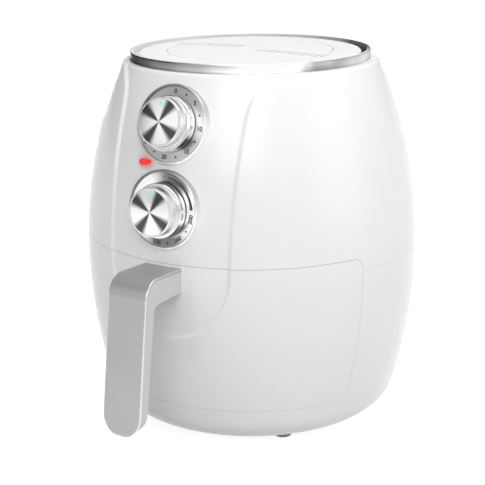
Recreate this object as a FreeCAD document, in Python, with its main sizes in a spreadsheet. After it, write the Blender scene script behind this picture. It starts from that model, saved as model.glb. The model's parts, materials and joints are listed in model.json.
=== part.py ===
import FreeCAD, Part
import math
import os

import Sketcher

# A drawer-type hot-air fryer: a barrel housing, a pull-out drawer with pan and tray, two turned controls.
# Millimetres. The front is -Y, the floor is z = 0, and every local shape is drawn about the barrel's axis.

SIZES = {
    # Barrel outline
    "belly_radius": 136.5,
    "belly_height": 137,
    "upper_arc": 380,
    "lower_arc": 420,
    "base_round": 22,
    "shoulder_round": 7,
    "shoulder_height": 292.5,
    "housing_wall": 3.2,
    # Clearances
    "shut_gap": 0.6,
    "seat_gap": 0.2,
    "slide_gap": 0.3,
    "running_gap": 0.05,
    # Seam between the two housings, and the ledges moulded inside them
    "housing_seam": 143.4,
    "seam_lip_height": 4,
    "seam_lip_wall": 1.8,
    "ledge_width": 8,
    "ledge_thickness": 3,
    # Drawer front in side view
    "drawer_top": 154.5,
    "drawer_bottom": 36.5,
    "drawer_rear": 51.5,
    "drawer_top_round": 8,
    "drawer_bottom_round": 14,
    # Tongue-shaped recess down the front
    "tongue_half_width": 51,
    "tongue_flare": 8,
    "tongue_end_height": 148.5,
    "recess_depth": 1.8,
    "recess_slope": 4.5,
    # Top ring and cover
    "ring_radius": 98.2,
    "ring_height": 7,
    "ring_wall": 2.3,
    "ring_lip": 1,
    "ring_flange": 8,
    "ring_flange_thickness": 2,
    "cover_thickness": 3.6,
    "cover_groove": 0.6,
    "cover_rim": 1.6,
    "field_radius": 78,
    "field_depth": 1.3,
    "cover_rib": 12,
    "vent_slot_width": 2.4,
    "vent_slot_pitch": 5.6,
    "vent_slot_count": 11,
    "vent_slot_margin": 4,
    # Control plate, dials and knobs
    "plate_half_width": 30.8,
    "plate_lip": 3,
    "plate_lip_thickness": 1.5,
    "timer_height": 256.5,
    "timer_tilt": 16,
    "temperature_height": 195,
    "temperature_tilt": 6.5,
    "dial_radius": 30,
    "dial_rim": 2,
    "dial_rim_height": 1.1,
    "dial_thickness": 1.2,
    "dial_lift": 1.4,
    "knob_skirt_radius": 20.7,
    "knob_skirt_height": 6.5,
    "knob_radius": 18.3,
    "knob_height": 17.4,
    "knob_edge": 0.8,
    "knob_face_inset": 1.3,
    "knob_face_thickness": 0.8,
    "knob_running_gap": 0.8,
    "pointer_width": 1.8,
    "pointer_length": 4,
    "pointer_height": 0.25,
    "control_shaft_radius": 3,
    "control_shaft_grip": 11,
    "bushing_radius": 5,
    "post_radius": 3,
    "post_spread": 17,
    "mechanism_standoff": 8.5,
    "timer_width": 46,
    "timer_depth": 28,
    "thermostat_width": 36,
    "thermostat_depth": 15,
    # Indicator lamp
    "lens_offset": 20.6,
    "lens_height": 227.4,
    "lens_length": 11.8,
    "lens_width": 4.5,
    "lens_stand": 0.7,
    "lens_depth": 7,
    "lamp_radius": 2,
    "lamp_length": 9,
    # Drawer bay
    "deck_thickness": 2.5,
    "deck_drop": 1.3,
    "bay_air_gap": 12,
    "liner_wall": 1,
    "liner_setback": 3.5,
    "runner_height": 4.5,
    "runner_width": 8,
    "runner_spread": 60,
    # Pan and tray
    "pan_rim_gap": 2.4,
    "pan_rim": 5,
    "pan_rim_thickness": 1.5,
    "pan_wall": 1.5,
    "pan_draft": 5.5,
    "pan_corner": 72,
    "pan_front_gap": 26,
    "pan_floor_round": 10,
    "pan_rim_drop": 5.5,
    "frame_thickness": 2.5,
    "tray_gap": 3,
    "tray_height": 12,
    "tray_thickness": 1.6,
    "tray_rim_height": 9,
    "tray_slot_length": 18,
    "tray_slot_width": 4,
    "tray_slot_pitch": 24,
    "tray_foot_radius": 5,
    "tray_foot_spread": 62,
    # Handle
    "handle_width": 33,
    "handle_arm_top": 152.5,
    "handle_arm_bottom": 134,
    "handle_arm_rise": 2,
    "handle_corner": 16,
    "handle_inner_corner": 6,
    "handle_reach": 181,
    "handle_lean": 14.5,
    "handle_bottom": 37.5,
    "grip_thickness": 10.6,
    "handle_skin": 1.6,
    "handle_screw_radius": 2,
    "handle_screw_head": 4,
    "handle_screw_spread": 8,
    "handle_screw_height": 137.5,
    "handle_screw_length": 16,
    # Cooking chamber, element, guard
    "bay_headroom": 2,
    "chamber_radius": 92,
    "chamber_sheet": 1.2,
    "chamber_depth": 64,
    "chamber_hole": 10,
    "guard_rise": 14,
    "guard_wire": 1.2,
    "guard_hoop_step": 28,
    "element_rise": 12,
    "element_tube": 3.3,
    "element_outer": 80,
    "element_inner": 64,
    "element_bend": 9,
    "element_tail": 10,
    "insulator_radius": 6,
    "insulator_height": 7,
    # Motor and fans
    "motor_radius": 29,
    "motor_height": 26,
    "motor_boss_radius": 8,
    "motor_boss_height": 3,
    "bracket_height": 14,
    "bracket_thickness": 2,
    "bracket_leg_radius": 3,
    "bracket_leg_spread": 26,
    "motor_shaft_radius": 3,
    "fan_headroom": 6,
    "fan_nut_radius": 5,
    "fan_nut_height": 4,
    "fan_radius": 50,
    "fan_hub_radius": 8,
    "fan_height": 12,
    "fan_sheet": 1.2,
    "fan_blade_root": 14,
    "cooling_fan_radius": 46,
    "cooling_fan_hub": 11,
    "cooling_fan_height": 13,
    "cooling_fan_gap": 4,
    "cooling_blade_chord": 20,
    "cooling_blade_sheet": 1.5,
    "cooling_blade_pitch": 32,
    # Rear grille and cord gland
    "grille_width": 92,
    "grille_height": 48,
    "grille_centre": 216,
    "grille_inset": 0.8,
    "grille_thickness": 2.2,
    "grille_slot": 3,
    "grille_pitch": 6.4,
    "grille_border": 5,
    "gland_height": 66,
    "gland_radius": 6,
    "gland_flange": 2.5,
    "gland_flange_thickness": 2,
    "gland_bore": 3.8,
    # Underside
    "base_opening": 76,
    "base_overlap": 6,
    "base_thickness": 2.5,
    "base_vent_length": 30,
    "base_vent_width": 4,
    "foot_height": 5,
    "foot_radius": 7.5,
    "foot_taper": 0.7,
    "foot_circle": 90.5,
    "foot_stem_radius": 2.4,
    "foot_stem_length": 3,
    "screw_radius": 1.5,
    "screw_head_radius": 3,
    "screw_head_height": 1.6,
}

FAN_BLADES = 10
COOLING_BLADES = 7
GUARD_BARS = 6
GUARD_HOOPS = 3
BASE_VENTS = 8
CORNER_ANGLES = (45, 135, 225, 315)
TRAY_COLUMNS = range(-3, 4)
TRAY_ROWS = range(-3, 4)
GRILLE_ROWS = range(-3, 4)
ELEMENT_OPENING = 12
TUBE_SIDES = 8
BASE_STEPS = 5
LOWER_STEPS = 5
UPPER_STEPS = 7
SHOULDER_STEPS = 4
FLOOR_TURNS = [math.radians(angle) for angle in (0, 30, 60, 90)]
RECESS_SLOPE_SHARE = 0.9
REACH = 400

Vector = FreeCAD.Vector
doc = FreeCAD.newDocument("drawer_fryer")
sheet = doc.addObject("Spreadsheet::Sheet", "Sizes")
for row, (alias, number) in enumerate(SIZES.items(), start=1):
    sheet.set(f"A{row}", alias)
    sheet.set(f"B{row}", str(number))
    sheet.setAlias(f"B{row}", alias)
doc.recompute()


class Size:
    """A length that carries its number and the sheet expression that gives it."""

    def __init__(self, value, text):
        self.value = value
        self.text = text

    def __add__(self, other):
        return Size(self.value + as_size(other).value, f"({self.text} + {as_size(other).text})")

    def __sub__(self, other):
        return Size(self.value - as_size(other).value, f"({self.text} - {as_size(other).text})")

    def __mul__(self, other):
        return Size(self.value * as_size(other).value, f"({self.text} * {as_size(other).text})")

    def __truediv__(self, other):
        return Size(self.value / as_size(other).value, f"({self.text} / {as_size(other).text})")

    def __neg__(self):
        return Size(-self.value, f"(0 - {self.text})")


def as_size(item):
    return item if isinstance(item, Size) else Size(float(item), f"{float(item):.6f}")


def root(size):
    return Size(math.sqrt(size.value), f"sqrt({size.text})")


class Sheet:
    """The sheet's cells, each read by its alias as a Size."""

    def __getattr__(self, alias):
        return Size(float(sheet.get(alias)), f"Sizes.{alias}")


d = Sheet()


# Drawing helpers


def bind(obj, name, size):
    size = as_size(size)
    setattr(obj, name, size.value)
    obj.setExpression(name, size.text)


class Outline:
    """A closed outline of straight lines and arcs; an arc turns left or right on its way to its end."""

    def __init__(self, x, y):
        self.points = [(as_size(x), as_size(y))]
        self.arcs = []

    def line(self, x, y):
        return self._to(x, y, None)

    def left(self, x, y, radius):
        return self._to(x, y, (as_size(radius), 1))

    def right(self, x, y, radius):
        return self._to(x, y, (as_size(radius), -1))

    def _to(self, x, y, arc):
        self.points.append((as_size(x), as_size(y)))
        self.arcs.append(arc)
        return self

    def closed(self):
        """Corners and sides in pairs, with a straight last side unless the outline ends at its start."""
        corners = list(self.points)
        sides = list(self.arcs)
        gap = [abs(a.value - b.value) for a, b in zip(corners[0], corners[-1])]
        if max(gap) < 1e-6:
            corners.pop()
        else:
            sides.append(None)
        return corners, sides


def arc_between(start, end, radius, side):
    """The arc under a half circle from start to end, turning left (side 1) or right (side -1)."""
    chord = end - start
    normal = Vector(-chord.y, chord.x, 0).normalize()
    rise = math.sqrt(max(radius**2 - (chord.Length / 2) ** 2, 0))
    centre = (start + end) * 0.5 + normal * rise * side
    middle = centre - normal * radius * side
    return Part.Arc(start, middle, end)


def draw(sketch, outline):
    """Put the outline in the sketch with every corner and radius bound to the sheet."""
    corners, sides = outline.closed()
    spots = [Vector(x.value, y.value, 0) for x, y in corners]
    count = len(spots)
    for i, arc in enumerate(sides):
        start, end = spots[i], spots[(i + 1) % count]
        if arc is None:
            sketch.addGeometry(Part.LineSegment(start, end))
        else:
            sketch.addGeometry(arc_between(start, end, arc[0].value, arc[1]))
    # an arc that turns right is stored from its end to its start
    first = [2 if arc and arc[1] < 0 else 1 for arc in sides]
    for i in range(count):
        after = (i + 1) % count
        sketch.addConstraint(Sketcher.Constraint("Coincident", i, 3 - first[i], after, first[after]))
    for i, (x, y) in enumerate(corners):
        for kind, size in (("DistanceX", x), ("DistanceY", y)):
            number = sketch.addConstraint(Sketcher.Constraint(kind, i, first[i], size.value))
            sketch.setExpression(f"Constraints[{number}]", size.text)
    for i, arc in enumerate(sides):
        if arc:
            number = sketch.addConstraint(Sketcher.Constraint("Radius", i, arc[0].value))
            sketch.setExpression(f"Constraints[{number}]", arc[0].text)


def new_body(label, placement):
    body = doc.addObject("PartDesign::Body", label)
    body.Placement = placement or at()
    return body


def new_sketch(body, plane, outline, offset=0):
    sketch = body.newObject("Sketcher::SketchObject", "outline")
    origin_plane = next(f for f in body.Origin.OriginFeatures if f.Role == plane)
    sketch.AttachmentSupport = [(origin_plane, "")]
    sketch.MapMode = "FlatFace"
    offset = as_size(offset)
    sketch.AttachmentOffset = FreeCAD.Placement(Vector(0, 0, offset.value), FreeCAD.Rotation())
    sketch.setExpression("AttachmentOffset.Base.z", offset.text)
    draw(sketch, outline)
    return sketch


def turned(label, outline, placement=None):
    """A piece turned about its own Z axis from a half section in X and Z."""
    body = new_body(label, placement)
    feature = body.newObject("PartDesign::Revolution", "turn")
    feature.Profile = new_sketch(body, "XZ_Plane", outline)
    feature.ReferenceAxis = (feature.Profile[0], ["V_Axis"])
    feature.Angle = 360
    return body


def padded(label, plane, outline, start, length, placement=None):
    """A piece padded from an outline; XY pads up, XZ pads forwards and YZ pads to the right."""
    body = new_body(label, placement)
    feature = body.newObject("PartDesign::Pad", "pad")
    feature.Profile = new_sketch(body, plane, outline, start)
    bind(feature, "Length", length)
    return body


def at(x=0, y=0, z=0, rotation=None):
    """A placement measured from the barrel's axis, which stands behind the middle of the footprint."""
    values = [as_size(item).value for item in (x, y, z)]
    spot = Vector(*values) + Vector(0, axis_shift.value, 0)
    return FreeCAD.Placement(spot, rotation or FreeCAD.Rotation())


def cylinder(label, radius, height, placement):
    obj = doc.addObject("Part::Cylinder", label)
    bind(obj, "Radius", radius)
    bind(obj, "Height", height)
    obj.Placement = placement
    return obj


def box(label, low, high):
    """A box between two corners measured from the barrel's axis."""
    obj = doc.addObject("Part::Box", label)
    for name, a, b in zip(("Length", "Width", "Height"), low, high):
        bind(obj, name, as_size(b) - a)
    obj.Placement = at(*low)
    return obj


def fuse(label, *shapes):
    obj = doc.addObject("Part::MultiFuse", label)
    obj.Shapes = list(shapes)
    return obj


def cut(label, base, *tools):
    obj = doc.addObject("Part::Cut", label)
    obj.Base = base
    obj.Tool = tools[0] if len(tools) == 1 else fuse(label + "_tools", *tools)
    return obj


def common(label, base, *tools):
    for number, tool in enumerate(tools, start=1):
        obj = doc.addObject("Part::Common", label if number == len(tools) else label + "_stage")
        obj.Base = base
        obj.Tool = tool
        base = obj
    return base


def group(label, solids):
    """One node that holds several separate solids."""
    obj = doc.addObject("Part::Compound", label)
    obj.Links = list(solids)
    return obj


def turn(axis, angle):
    return FreeCAD.Rotation(axis, angle)


FORWARD = turn(Vector(1, 0, 0), 90)
BACKWARD = turn(Vector(1, 0, 0), -90)


# The barrel's shape, worked out once and offset inwards for every piece that follows it


def square(size):
    return size * size


def barrel_radius(height, arc):
    rise = as_size(height) - d.belly_height
    return d.belly_radius - arc + root(square(arc) - square(rise))


def upper_radius(height):
    return barrel_radius(height, d.upper_arc)


def lower_radius(height):
    return barrel_radius(height, d.lower_arc)


lower_centre = d.belly_radius - d.lower_arc
upper_centre = d.belly_radius - d.upper_arc
base_centre_height = d.foot_height + d.base_round
base_drop = d.belly_height - base_centre_height
base_reach = d.lower_arc - d.base_round
base_flat = lower_centre + root(square(base_reach) - square(base_drop))
shoulder_centre_height = d.shoulder_height - d.shoulder_round
shoulder_rise = shoulder_centre_height - d.belly_height
shoulder_reach = d.upper_arc - d.shoulder_round
shoulder_flat = upper_centre + root(square(shoulder_reach) - square(shoulder_rise))
handle_front = d.handle_reach + d.handle_lean
axis_shift = (handle_front - d.belly_radius) / 2


def bend(outline, centre, radius, start, end, steps):
    """Carry an outline round an arc in short straight steps, between two directions off its centre."""
    for number in range(1, steps + 1):
        share = number / steps
        x = start[0] * (1 - share) + end[0] * share
        z = start[1] * (1 - share) + end[1] * share
        length = root(square(x) + square(z))
        outline.line(centre[0] + radius * x / length, centre[1] + radius * z / length)


def barrel(label, inset=0):
    """The barrel as a solid, every surface moved inwards by the inset."""
    inset = as_size(inset)
    down, out, up = (as_size(0), as_size(-1)), (as_size(1), as_size(0)), (as_size(0), as_size(1))
    low_way = ((base_flat - lower_centre) / base_reach, -base_drop / base_reach)
    high_way = ((shoulder_flat - upper_centre) / shoulder_reach, shoulder_rise / shoulder_reach)
    outline = Outline(0, d.foot_height + inset).line(base_flat, d.foot_height + inset)
    bend(outline, (base_flat, base_centre_height), d.base_round - inset, down, low_way, BASE_STEPS)
    bend(outline, (lower_centre, d.belly_height), d.lower_arc - inset, low_way, out, LOWER_STEPS)
    bend(outline, (upper_centre, d.belly_height), d.upper_arc - inset, out, high_way, UPPER_STEPS)
    shoulder_centre = (shoulder_flat, shoulder_centre_height)
    bend(outline, shoulder_centre, d.shoulder_round - inset, high_way, up, SHOULDER_STEPS)
    outline.line(0, d.shoulder_height - inset)
    return turned(label, outline)


def stadium(half_width, low_centre, high_centre):
    """An upright outline with round ends in X and Z."""
    w = as_size(half_width)
    outline = Outline(w, low_centre).line(w, high_centre)
    outline.left(0, high_centre + w, w).left(-w, high_centre, w)
    outline.line(-w, low_centre)
    return outline.left(0, low_centre - w, w).left(w, low_centre, w)


def tongue_outline():
    """The recess in front view: straight sides that flare near the top and a half-round lower end."""
    w = d.tongue_half_width
    low = d.tongue_end_height
    top = d.shoulder_height + d.ring_height
    outline = Outline(w, low).line(w + d.tongue_flare, top).line(-(w + d.tongue_flare), top).line(-w, low)
    return outline.left(0, low - w, w).left(w, low, w)


def drawer_outline(gap=0):
    """The drawer front in side view, grown by the gap on its three edges."""
    gap = as_size(gap)
    rear = gap - d.drawer_rear
    top = d.drawer_top + gap
    bottom = d.drawer_bottom - gap
    top_round = d.drawer_top_round + gap
    bottom_round = d.drawer_bottom_round + gap
    outline = Outline(-REACH, bottom).line(rear - bottom_round, bottom)
    outline.left(rear, bottom + bottom_round, bottom_round)
    outline.line(rear, top - top_round)
    outline.left(rear - top_round, top, top_round)
    return outline.line(-REACH, top)


def drawer_block(label, gap=0):
    return padded(label, "YZ_Plane", drawer_outline(gap), -REACH, 2 * REACH)


def slab(label, low, high):
    return box(label, (-REACH, -REACH, low), (REACH, REACH, high))


def recessed_barrel():
    """The outer barrel with the tongue sunk into its front and the edge of the recess sloped."""
    whole = barrel("whole_barrel")
    tongue = padded("tongue", "XZ_Plane", tongue_outline(), 0, REACH)
    recess = cut("recess", tongue, barrel("recess_floor", d.recess_depth))
    plain = cut("plain_recess", whole, recess)
    doc.recompute()
    skin = Part.Compound(whole.Shape.Faces)
    walls = Part.Compound([face for face in tongue.Shape.Faces if abs(face.normalAt(0, 0).y) < 0.5])
    shoulder = shoulder_centre_height.value
    rim = []
    for number, edge in enumerate(plain.Shape.Edges, start=1):
        middle = Part.Vertex(edge.valueAt((edge.FirstParameter + edge.LastParameter) / 2))
        on_rim = max(skin.distToShape(middle)[0], walls.distToShape(middle)[0]) < 1e-3
        if on_rim and middle.Z < shoulder:
            rim.append((number, d.recess_slope.value, d.recess_depth.value * RECESS_SLOPE_SHARE))
    sloped = doc.addObject("Part::Chamfer", "sloped_recess")
    sloped.Base = plain
    sloped.Edges = rim
    return sloped


outer_barrel = recessed_barrel()


# Heights and radii that several pieces share

shell = cut("shell", outer_barrel, barrel("cavity", d.housing_wall))
flange_low = d.drawer_top + d.bay_headroom
flange_high = flange_low + d.chamber_sheet
flange_radius = upper_radius(flange_low) - d.housing_wall - d.slide_gap
chamber_top = flange_high + d.chamber_depth
chamber_roof = chamber_top + d.chamber_sheet
base_floor = d.foot_height + d.housing_wall
deck_top = d.drawer_bottom - d.deck_drop
deck_low = deck_top - d.deck_thickness
liner_outer = lower_radius(deck_top) - d.housing_wall - d.bay_air_gap
liner_inner = liner_outer - d.liner_wall
pan_radius = liner_inner - d.pan_rim_gap - d.pan_rim
pan_bottom = deck_top + d.runner_height + d.slide_gap
pan_floor = pan_bottom + d.pan_wall
pan_top = d.drawer_top - d.pan_rim_drop
pan_rim_low = pan_top - d.pan_rim_thickness
pan_front = upper_radius(pan_top) - d.housing_wall - d.pan_front_gap
frame_low = pan_rim_low - d.frame_thickness
frame_rear = d.drawer_rear + d.shut_gap
wall_middle = (d.housing_wall + d.recess_depth) / 2
plate_inset = d.housing_wall + d.seat_gap + d.plate_lip_thickness
plate_depth = plate_inset - d.recess_depth
opening_radius = d.ring_radius - d.ring_wall - d.ring_flange
chamber_screw_circle = flange_radius - d.ledge_width / 2
base_screw_circle = d.base_opening + d.base_overlap / 2


def ring_section(inner, outer, low, high):
    return Outline(inner, low).line(outer, low).line(outer, high).line(inner, high)


def ledge(label, wall_radius, low, grow=0):
    """A shelf moulded round the inside of a wall."""
    grow = as_size(grow)
    inner = wall_radius - d.housing_wall - d.ledge_width - grow
    outer = wall_radius - wall_middle
    return turned(label, ring_section(inner, outer, low - grow, low + d.ledge_thickness))


def around(radius, angle, height=0):
    """A placement on a circle about the barrel's axis, turned to face outwards."""
    radius = as_size(radius).value
    spin = math.radians(angle)
    return at(radius * math.cos(spin), radius * math.sin(spin), height, turn(Vector(0, 0, 1), angle))


def spoke(label, angle, start, end, width, low, high):
    """A box lying along a radius of the barrel."""
    obj = doc.addObject("Part::Box", label)
    bind(obj, "Length", as_size(end) - start)
    bind(obj, "Width", width)
    bind(obj, "Height", as_size(high) - low)
    spin = turn(Vector(0, 0, 1), angle)
    corner = spin.multVec(Vector(as_size(start).value, -as_size(width).value / 2, 0))
    obj.Placement = at(corner.x, corner.y, low, spin)
    return obj


def screw(label, length, placement):
    """A pan-head screw, its head below and its shank pointing up its own axis."""
    outline = Outline(0, -d.screw_head_height).line(d.screw_head_radius, -d.screw_head_height)
    outline.line(d.screw_head_radius, 0).line(d.screw_radius, 0)
    outline.line(d.screw_radius, length).line(0, length)
    return turned(label, outline, placement)


def screw_hole(label, length, placement):
    return cylinder(label, d.screw_radius + d.running_gap * 2, length, placement)


nodes = []


def keep(label, obj):
    obj.Label = label
    nodes.append(obj)
    return obj


# Control seats: local Z runs out of the panel along the knob's axis, from the recess floor


def control_seat(height, tilt):
    depth = upper_radius(height) - d.recess_depth
    return at(0, -depth, height, turn(Vector(1, 0, 0), 90 - tilt.value))


def inside(seat, x=0, y=0, z=0):
    """A placement measured in a seat's own directions."""
    values = [as_size(item).value for item in (x, y, z)]
    return seat.multiply(FreeCAD.Placement(Vector(*values), FreeCAD.Rotation()))


def seat_box(label, seat, low, high):
    obj = doc.addObject("Part::Box", label)
    for name, a, b in zip(("Length", "Width", "Height"), low, high):
        bind(obj, name, as_size(b) - a)
    obj.Placement = inside(seat, *low)
    return obj


timer_seat = control_seat(d.timer_height, d.timer_tilt)
temperature_seat = control_seat(d.temperature_height, d.temperature_tilt)
SEATS = {"timer": timer_seat, "temperature": temperature_seat}


# Upper housing: the barrel's wall above the seam, open at the top, in front and behind


def make_upper_housing():
    wall = common("upper_wall", shell, slab("above_seam", d.housing_seam, REACH))
    body = fuse("upper_body", wall, ledge("upper_ledge", upper_radius(flange_high), flange_high))
    tools = [drawer_block("upper_drawer_gap", d.shut_gap)]
    tools.append(cylinder("top_opening", opening_radius, REACH, at(0, 0, chamber_roof)))
    window = stadium(d.plate_half_width + d.slide_gap, d.temperature_height, d.timer_height)
    tools.append(padded("control_window", "XZ_Plane", window, 0, REACH))
    tools.append(grille_block("grille_window", d.slide_gap))
    for angle in CORNER_ANGLES:
        spot = around(chamber_screw_circle, angle, flange_high)
        tools.append(screw_hole("ledge_hole", d.ledge_thickness, spot))
    keep("upper_housing", cut("upper_housing", body, *tools))


def grille_block(label, gap=0):
    half = d.grille_width / 2 + gap
    rise = d.grille_height / 2 + gap
    return box(label, (-half, 0, d.grille_centre - rise), (half, REACH, d.grille_centre + rise))


# Lower housing: the barrel's wall below the seam with its lip, its shelf and the hole for the base


def make_lower_housing():
    seam_radius = upper_radius(d.housing_seam) - d.housing_wall
    seam_low = d.housing_seam - d.slide_gap
    lip_outer = seam_radius - d.slide_gap
    lip_inner = lip_outer - d.seam_lip_wall
    root_radius = upper_radius(d.housing_seam) - wall_middle
    lip_low = seam_low - d.seam_lip_height
    lip_high = d.housing_seam + d.seam_lip_height
    lip = Outline(lip_inner, lip_low).line(root_radius, lip_low).line(root_radius, seam_low)
    lip.line(lip_outer, seam_low).line(lip_outer, lip_high).line(lip_inner, lip_high)
    wall = common("lower_wall", shell, slab("below_seam", 0, seam_low))
    shelf_low = deck_low - d.ledge_thickness
    shelf = ledge("deck_shelf", lower_radius(deck_low - d.ledge_thickness / 2), shelf_low)
    body = fuse("lower_body", wall, turned("seam_lip", lip), shelf)
    tools = [drawer_block("lower_drawer_gap", d.shut_gap)]
    tools.append(cylinder("base_hole", d.base_opening, base_floor, at()))
    for angle in CORNER_ANGLES:
        stem = d.foot_stem_radius + d.seat_gap
        tools.append(cylinder("foot_hole", stem, base_floor, around(d.foot_circle, angle)))
        tools.append(screw_hole("base_screw_hole", base_floor, around(base_screw_circle, angle + 45)))
    depth = d.housing_wall * 2
    spot = inside(gland_seat(), z=-depth)
    tools.append(cylinder("gland_hole", d.gland_radius + d.seat_gap, depth * 2, spot))
    keep("lower_housing", cut("lower_housing", body, *tools))


# Underside: a dished base plate on the housing's rim, its screws and four rubber feet


def make_underside():
    edge = d.base_opening - d.slide_gap
    top = base_floor + d.base_thickness
    dish = Outline(0, d.foot_height).line(edge, d.foot_height).line(edge, base_floor)
    dish.line(d.base_opening + d.base_overlap, base_floor).line(d.base_opening + d.base_overlap, top)
    dish.line(edge - d.base_thickness, top).line(edge - d.base_thickness, d.foot_height + d.base_thickness)
    dish.line(0, d.foot_height + d.base_thickness)
    tools = []
    vent_start = (d.base_opening - d.base_vent_length) / 2
    vent_end = vent_start + d.base_vent_length
    for number in range(BASE_VENTS):
        angle = 360 / BASE_VENTS * number
        tools.append(spoke("base_vent", angle, vent_start, vent_end, d.base_vent_width, 0, top))
    screws = []
    for angle in CORNER_ANGLES:
        spot = around(base_screw_circle, angle + 45, d.foot_height)
        tools.append(screw_hole("plate_screw_hole", top, spot))
        screws.append(screw("base_screw", d.housing_wall + d.base_thickness, spot))
    keep("base_plate", cut("base_plate", turned("base_dish", dish), *tools))
    keep("base_screws", group("base_screws", screws))
    foot = Outline(0, 0).line(d.foot_radius - d.foot_taper, 0).line(d.foot_radius, d.foot_height)
    stem_top = d.foot_height + d.foot_stem_length
    foot.line(d.foot_stem_radius, d.foot_height).line(d.foot_stem_radius, stem_top).line(0, stem_top)
    names = ("rear_right_foot", "rear_left_foot", "front_left_foot", "front_right_foot")
    for name, angle in zip(names, CORNER_ANGLES):
        keep(name, turned(name, foot, around(d.foot_circle, angle)))


# Top: a steel ring on the shoulder and the louvred cover that sits in it


def make_top():
    low = d.shoulder_height
    top = low + d.ring_height
    inner = d.ring_radius - d.ring_wall
    shelf = low + d.ring_flange_thickness
    lip = d.ring_lip
    ring = Outline(opening_radius, low).line(d.ring_radius, low).line(d.ring_radius, top - lip)
    ring.line(d.ring_radius - lip, top).line(inner + lip, top).line(inner, top - lip)
    ring.line(inner, shelf).line(opening_radius, shelf)
    keep("top_ring", turned("top_ring", ring))
    edge = inner - d.cover_groove
    crown = shelf + d.cover_thickness
    disc = Outline(0, shelf).line(edge, shelf).line(edge, crown - d.cover_rim)
    disc.line(edge - d.cover_rim, crown).line(0, crown)
    tools = []
    for side in (-1, 1):
        field = cylinder("field_disc", d.field_radius, d.cover_thickness, at(0, 0, crown - d.field_depth))
        near = d.cover_rib / 2
        low_y, high_y = (-REACH, -near) if side < 0 else (near, REACH)
        tools.append(common("field", field, box("field_half", (-REACH, low_y, 0), (REACH, high_y, REACH))))
        tools += vent_slots(side, shelf, crown)
    keep("top_cover", cut("top_cover", turned("cover_disc", disc), *tools))


def vent_slots(side, low, high):
    """Slots along Y in one quarter of the cover; the other quarter with slots lies opposite."""
    slots = []
    start = d.cover_rib / 2 + d.vent_slot_margin
    reach = d.field_radius - d.vent_slot_margin
    for number in range(int(d.vent_slot_count.value)):
        x = d.vent_slot_pitch * (number + 1)
        far = root(square(reach) - square(x))
        low_x = x - d.vent_slot_width / 2
        high_x = x + d.vent_slot_width / 2
        if side < 0:
            slots.append(box("vent_slot", (low_x, -far, low), (high_x, -start, high)))
        else:
            slots.append(box("vent_slot", (-high_x, start, low), (-low_x, far, high)))
    return slots


# Control plate: a stadium that fills the window, with a lip behind the wall and posts for the mechanisms


def make_control_plate():
    back = barrel("plate_back", plate_inset)
    ends = (d.temperature_height, d.timer_height)
    core = padded("plate_core", "XZ_Plane", stadium(d.plate_half_width, *ends), shoulder_flat, REACH)
    lip_outline = stadium(d.plate_half_width + d.plate_lip, *ends)
    lip = padded("plate_lip", "XZ_Plane", lip_outline, shoulder_flat, REACH)
    front = cut("plate_front", barrel("plate_skin", d.recess_depth), back)
    rear = cut("plate_rear", barrel("plate_seat", d.housing_wall + d.seat_gap), back)
    plate = fuse("plate_blank", common("plate_middle", front, core), common("plate_rim", rear, lip))
    tools = [lens_block("lens_hole", d.seat_gap)]
    posts = []
    for name, seat in SEATS.items():
        spot = inside(seat, z=-d.bushing_radius)
        tools.append(cylinder(name + "_hole", d.bushing_radius, d.bushing_radius * 2, spot))
        for side in (-1, 1):
            spot = inside(seat, d.post_spread * side, 0, -d.mechanism_standoff)
            posts.append(cylinder("post", d.post_radius, d.mechanism_standoff - plate_depth, spot))
    keep("control_plate", fuse("control_plate", cut("plate_cut", plate, *tools), *posts))


def lens_block(label, gap=0):
    """The indicator's lens: a lying stadium pushed through the plate from behind."""
    surface = root(square(upper_radius(d.lens_height) - d.recess_depth) - square(d.lens_offset))
    w = d.lens_width / 2 + gap
    left = -d.lens_offset - d.lens_length / 2 + d.lens_width / 2
    right = -d.lens_offset + d.lens_length / 2 - d.lens_width / 2
    z = d.lens_height
    outline = Outline(left, z - w).line(right, z - w).left(right + w, z, w).left(right, z + w, w)
    outline.line(left, z + w).left(left - w, z, w).left(left, z - w, w)
    return padded(label, "XZ_Plane", outline, surface - d.lens_depth, d.lens_depth + d.lens_stand)


def make_indicator():
    keep("indicator_lens", lens_block("indicator_lens"))
    surface = root(square(upper_radius(d.lens_height) - d.recess_depth) - square(d.lens_offset))
    back = d.seat_gap + d.lens_depth - surface
    spot = at(-d.lens_offset, back, d.lens_height, BACKWARD)
    keep("indicator_lamp", cylinder("indicator_lamp", d.lamp_radius, d.lamp_length, spot))


# Dials, knobs, shafts and what they turn


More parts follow.
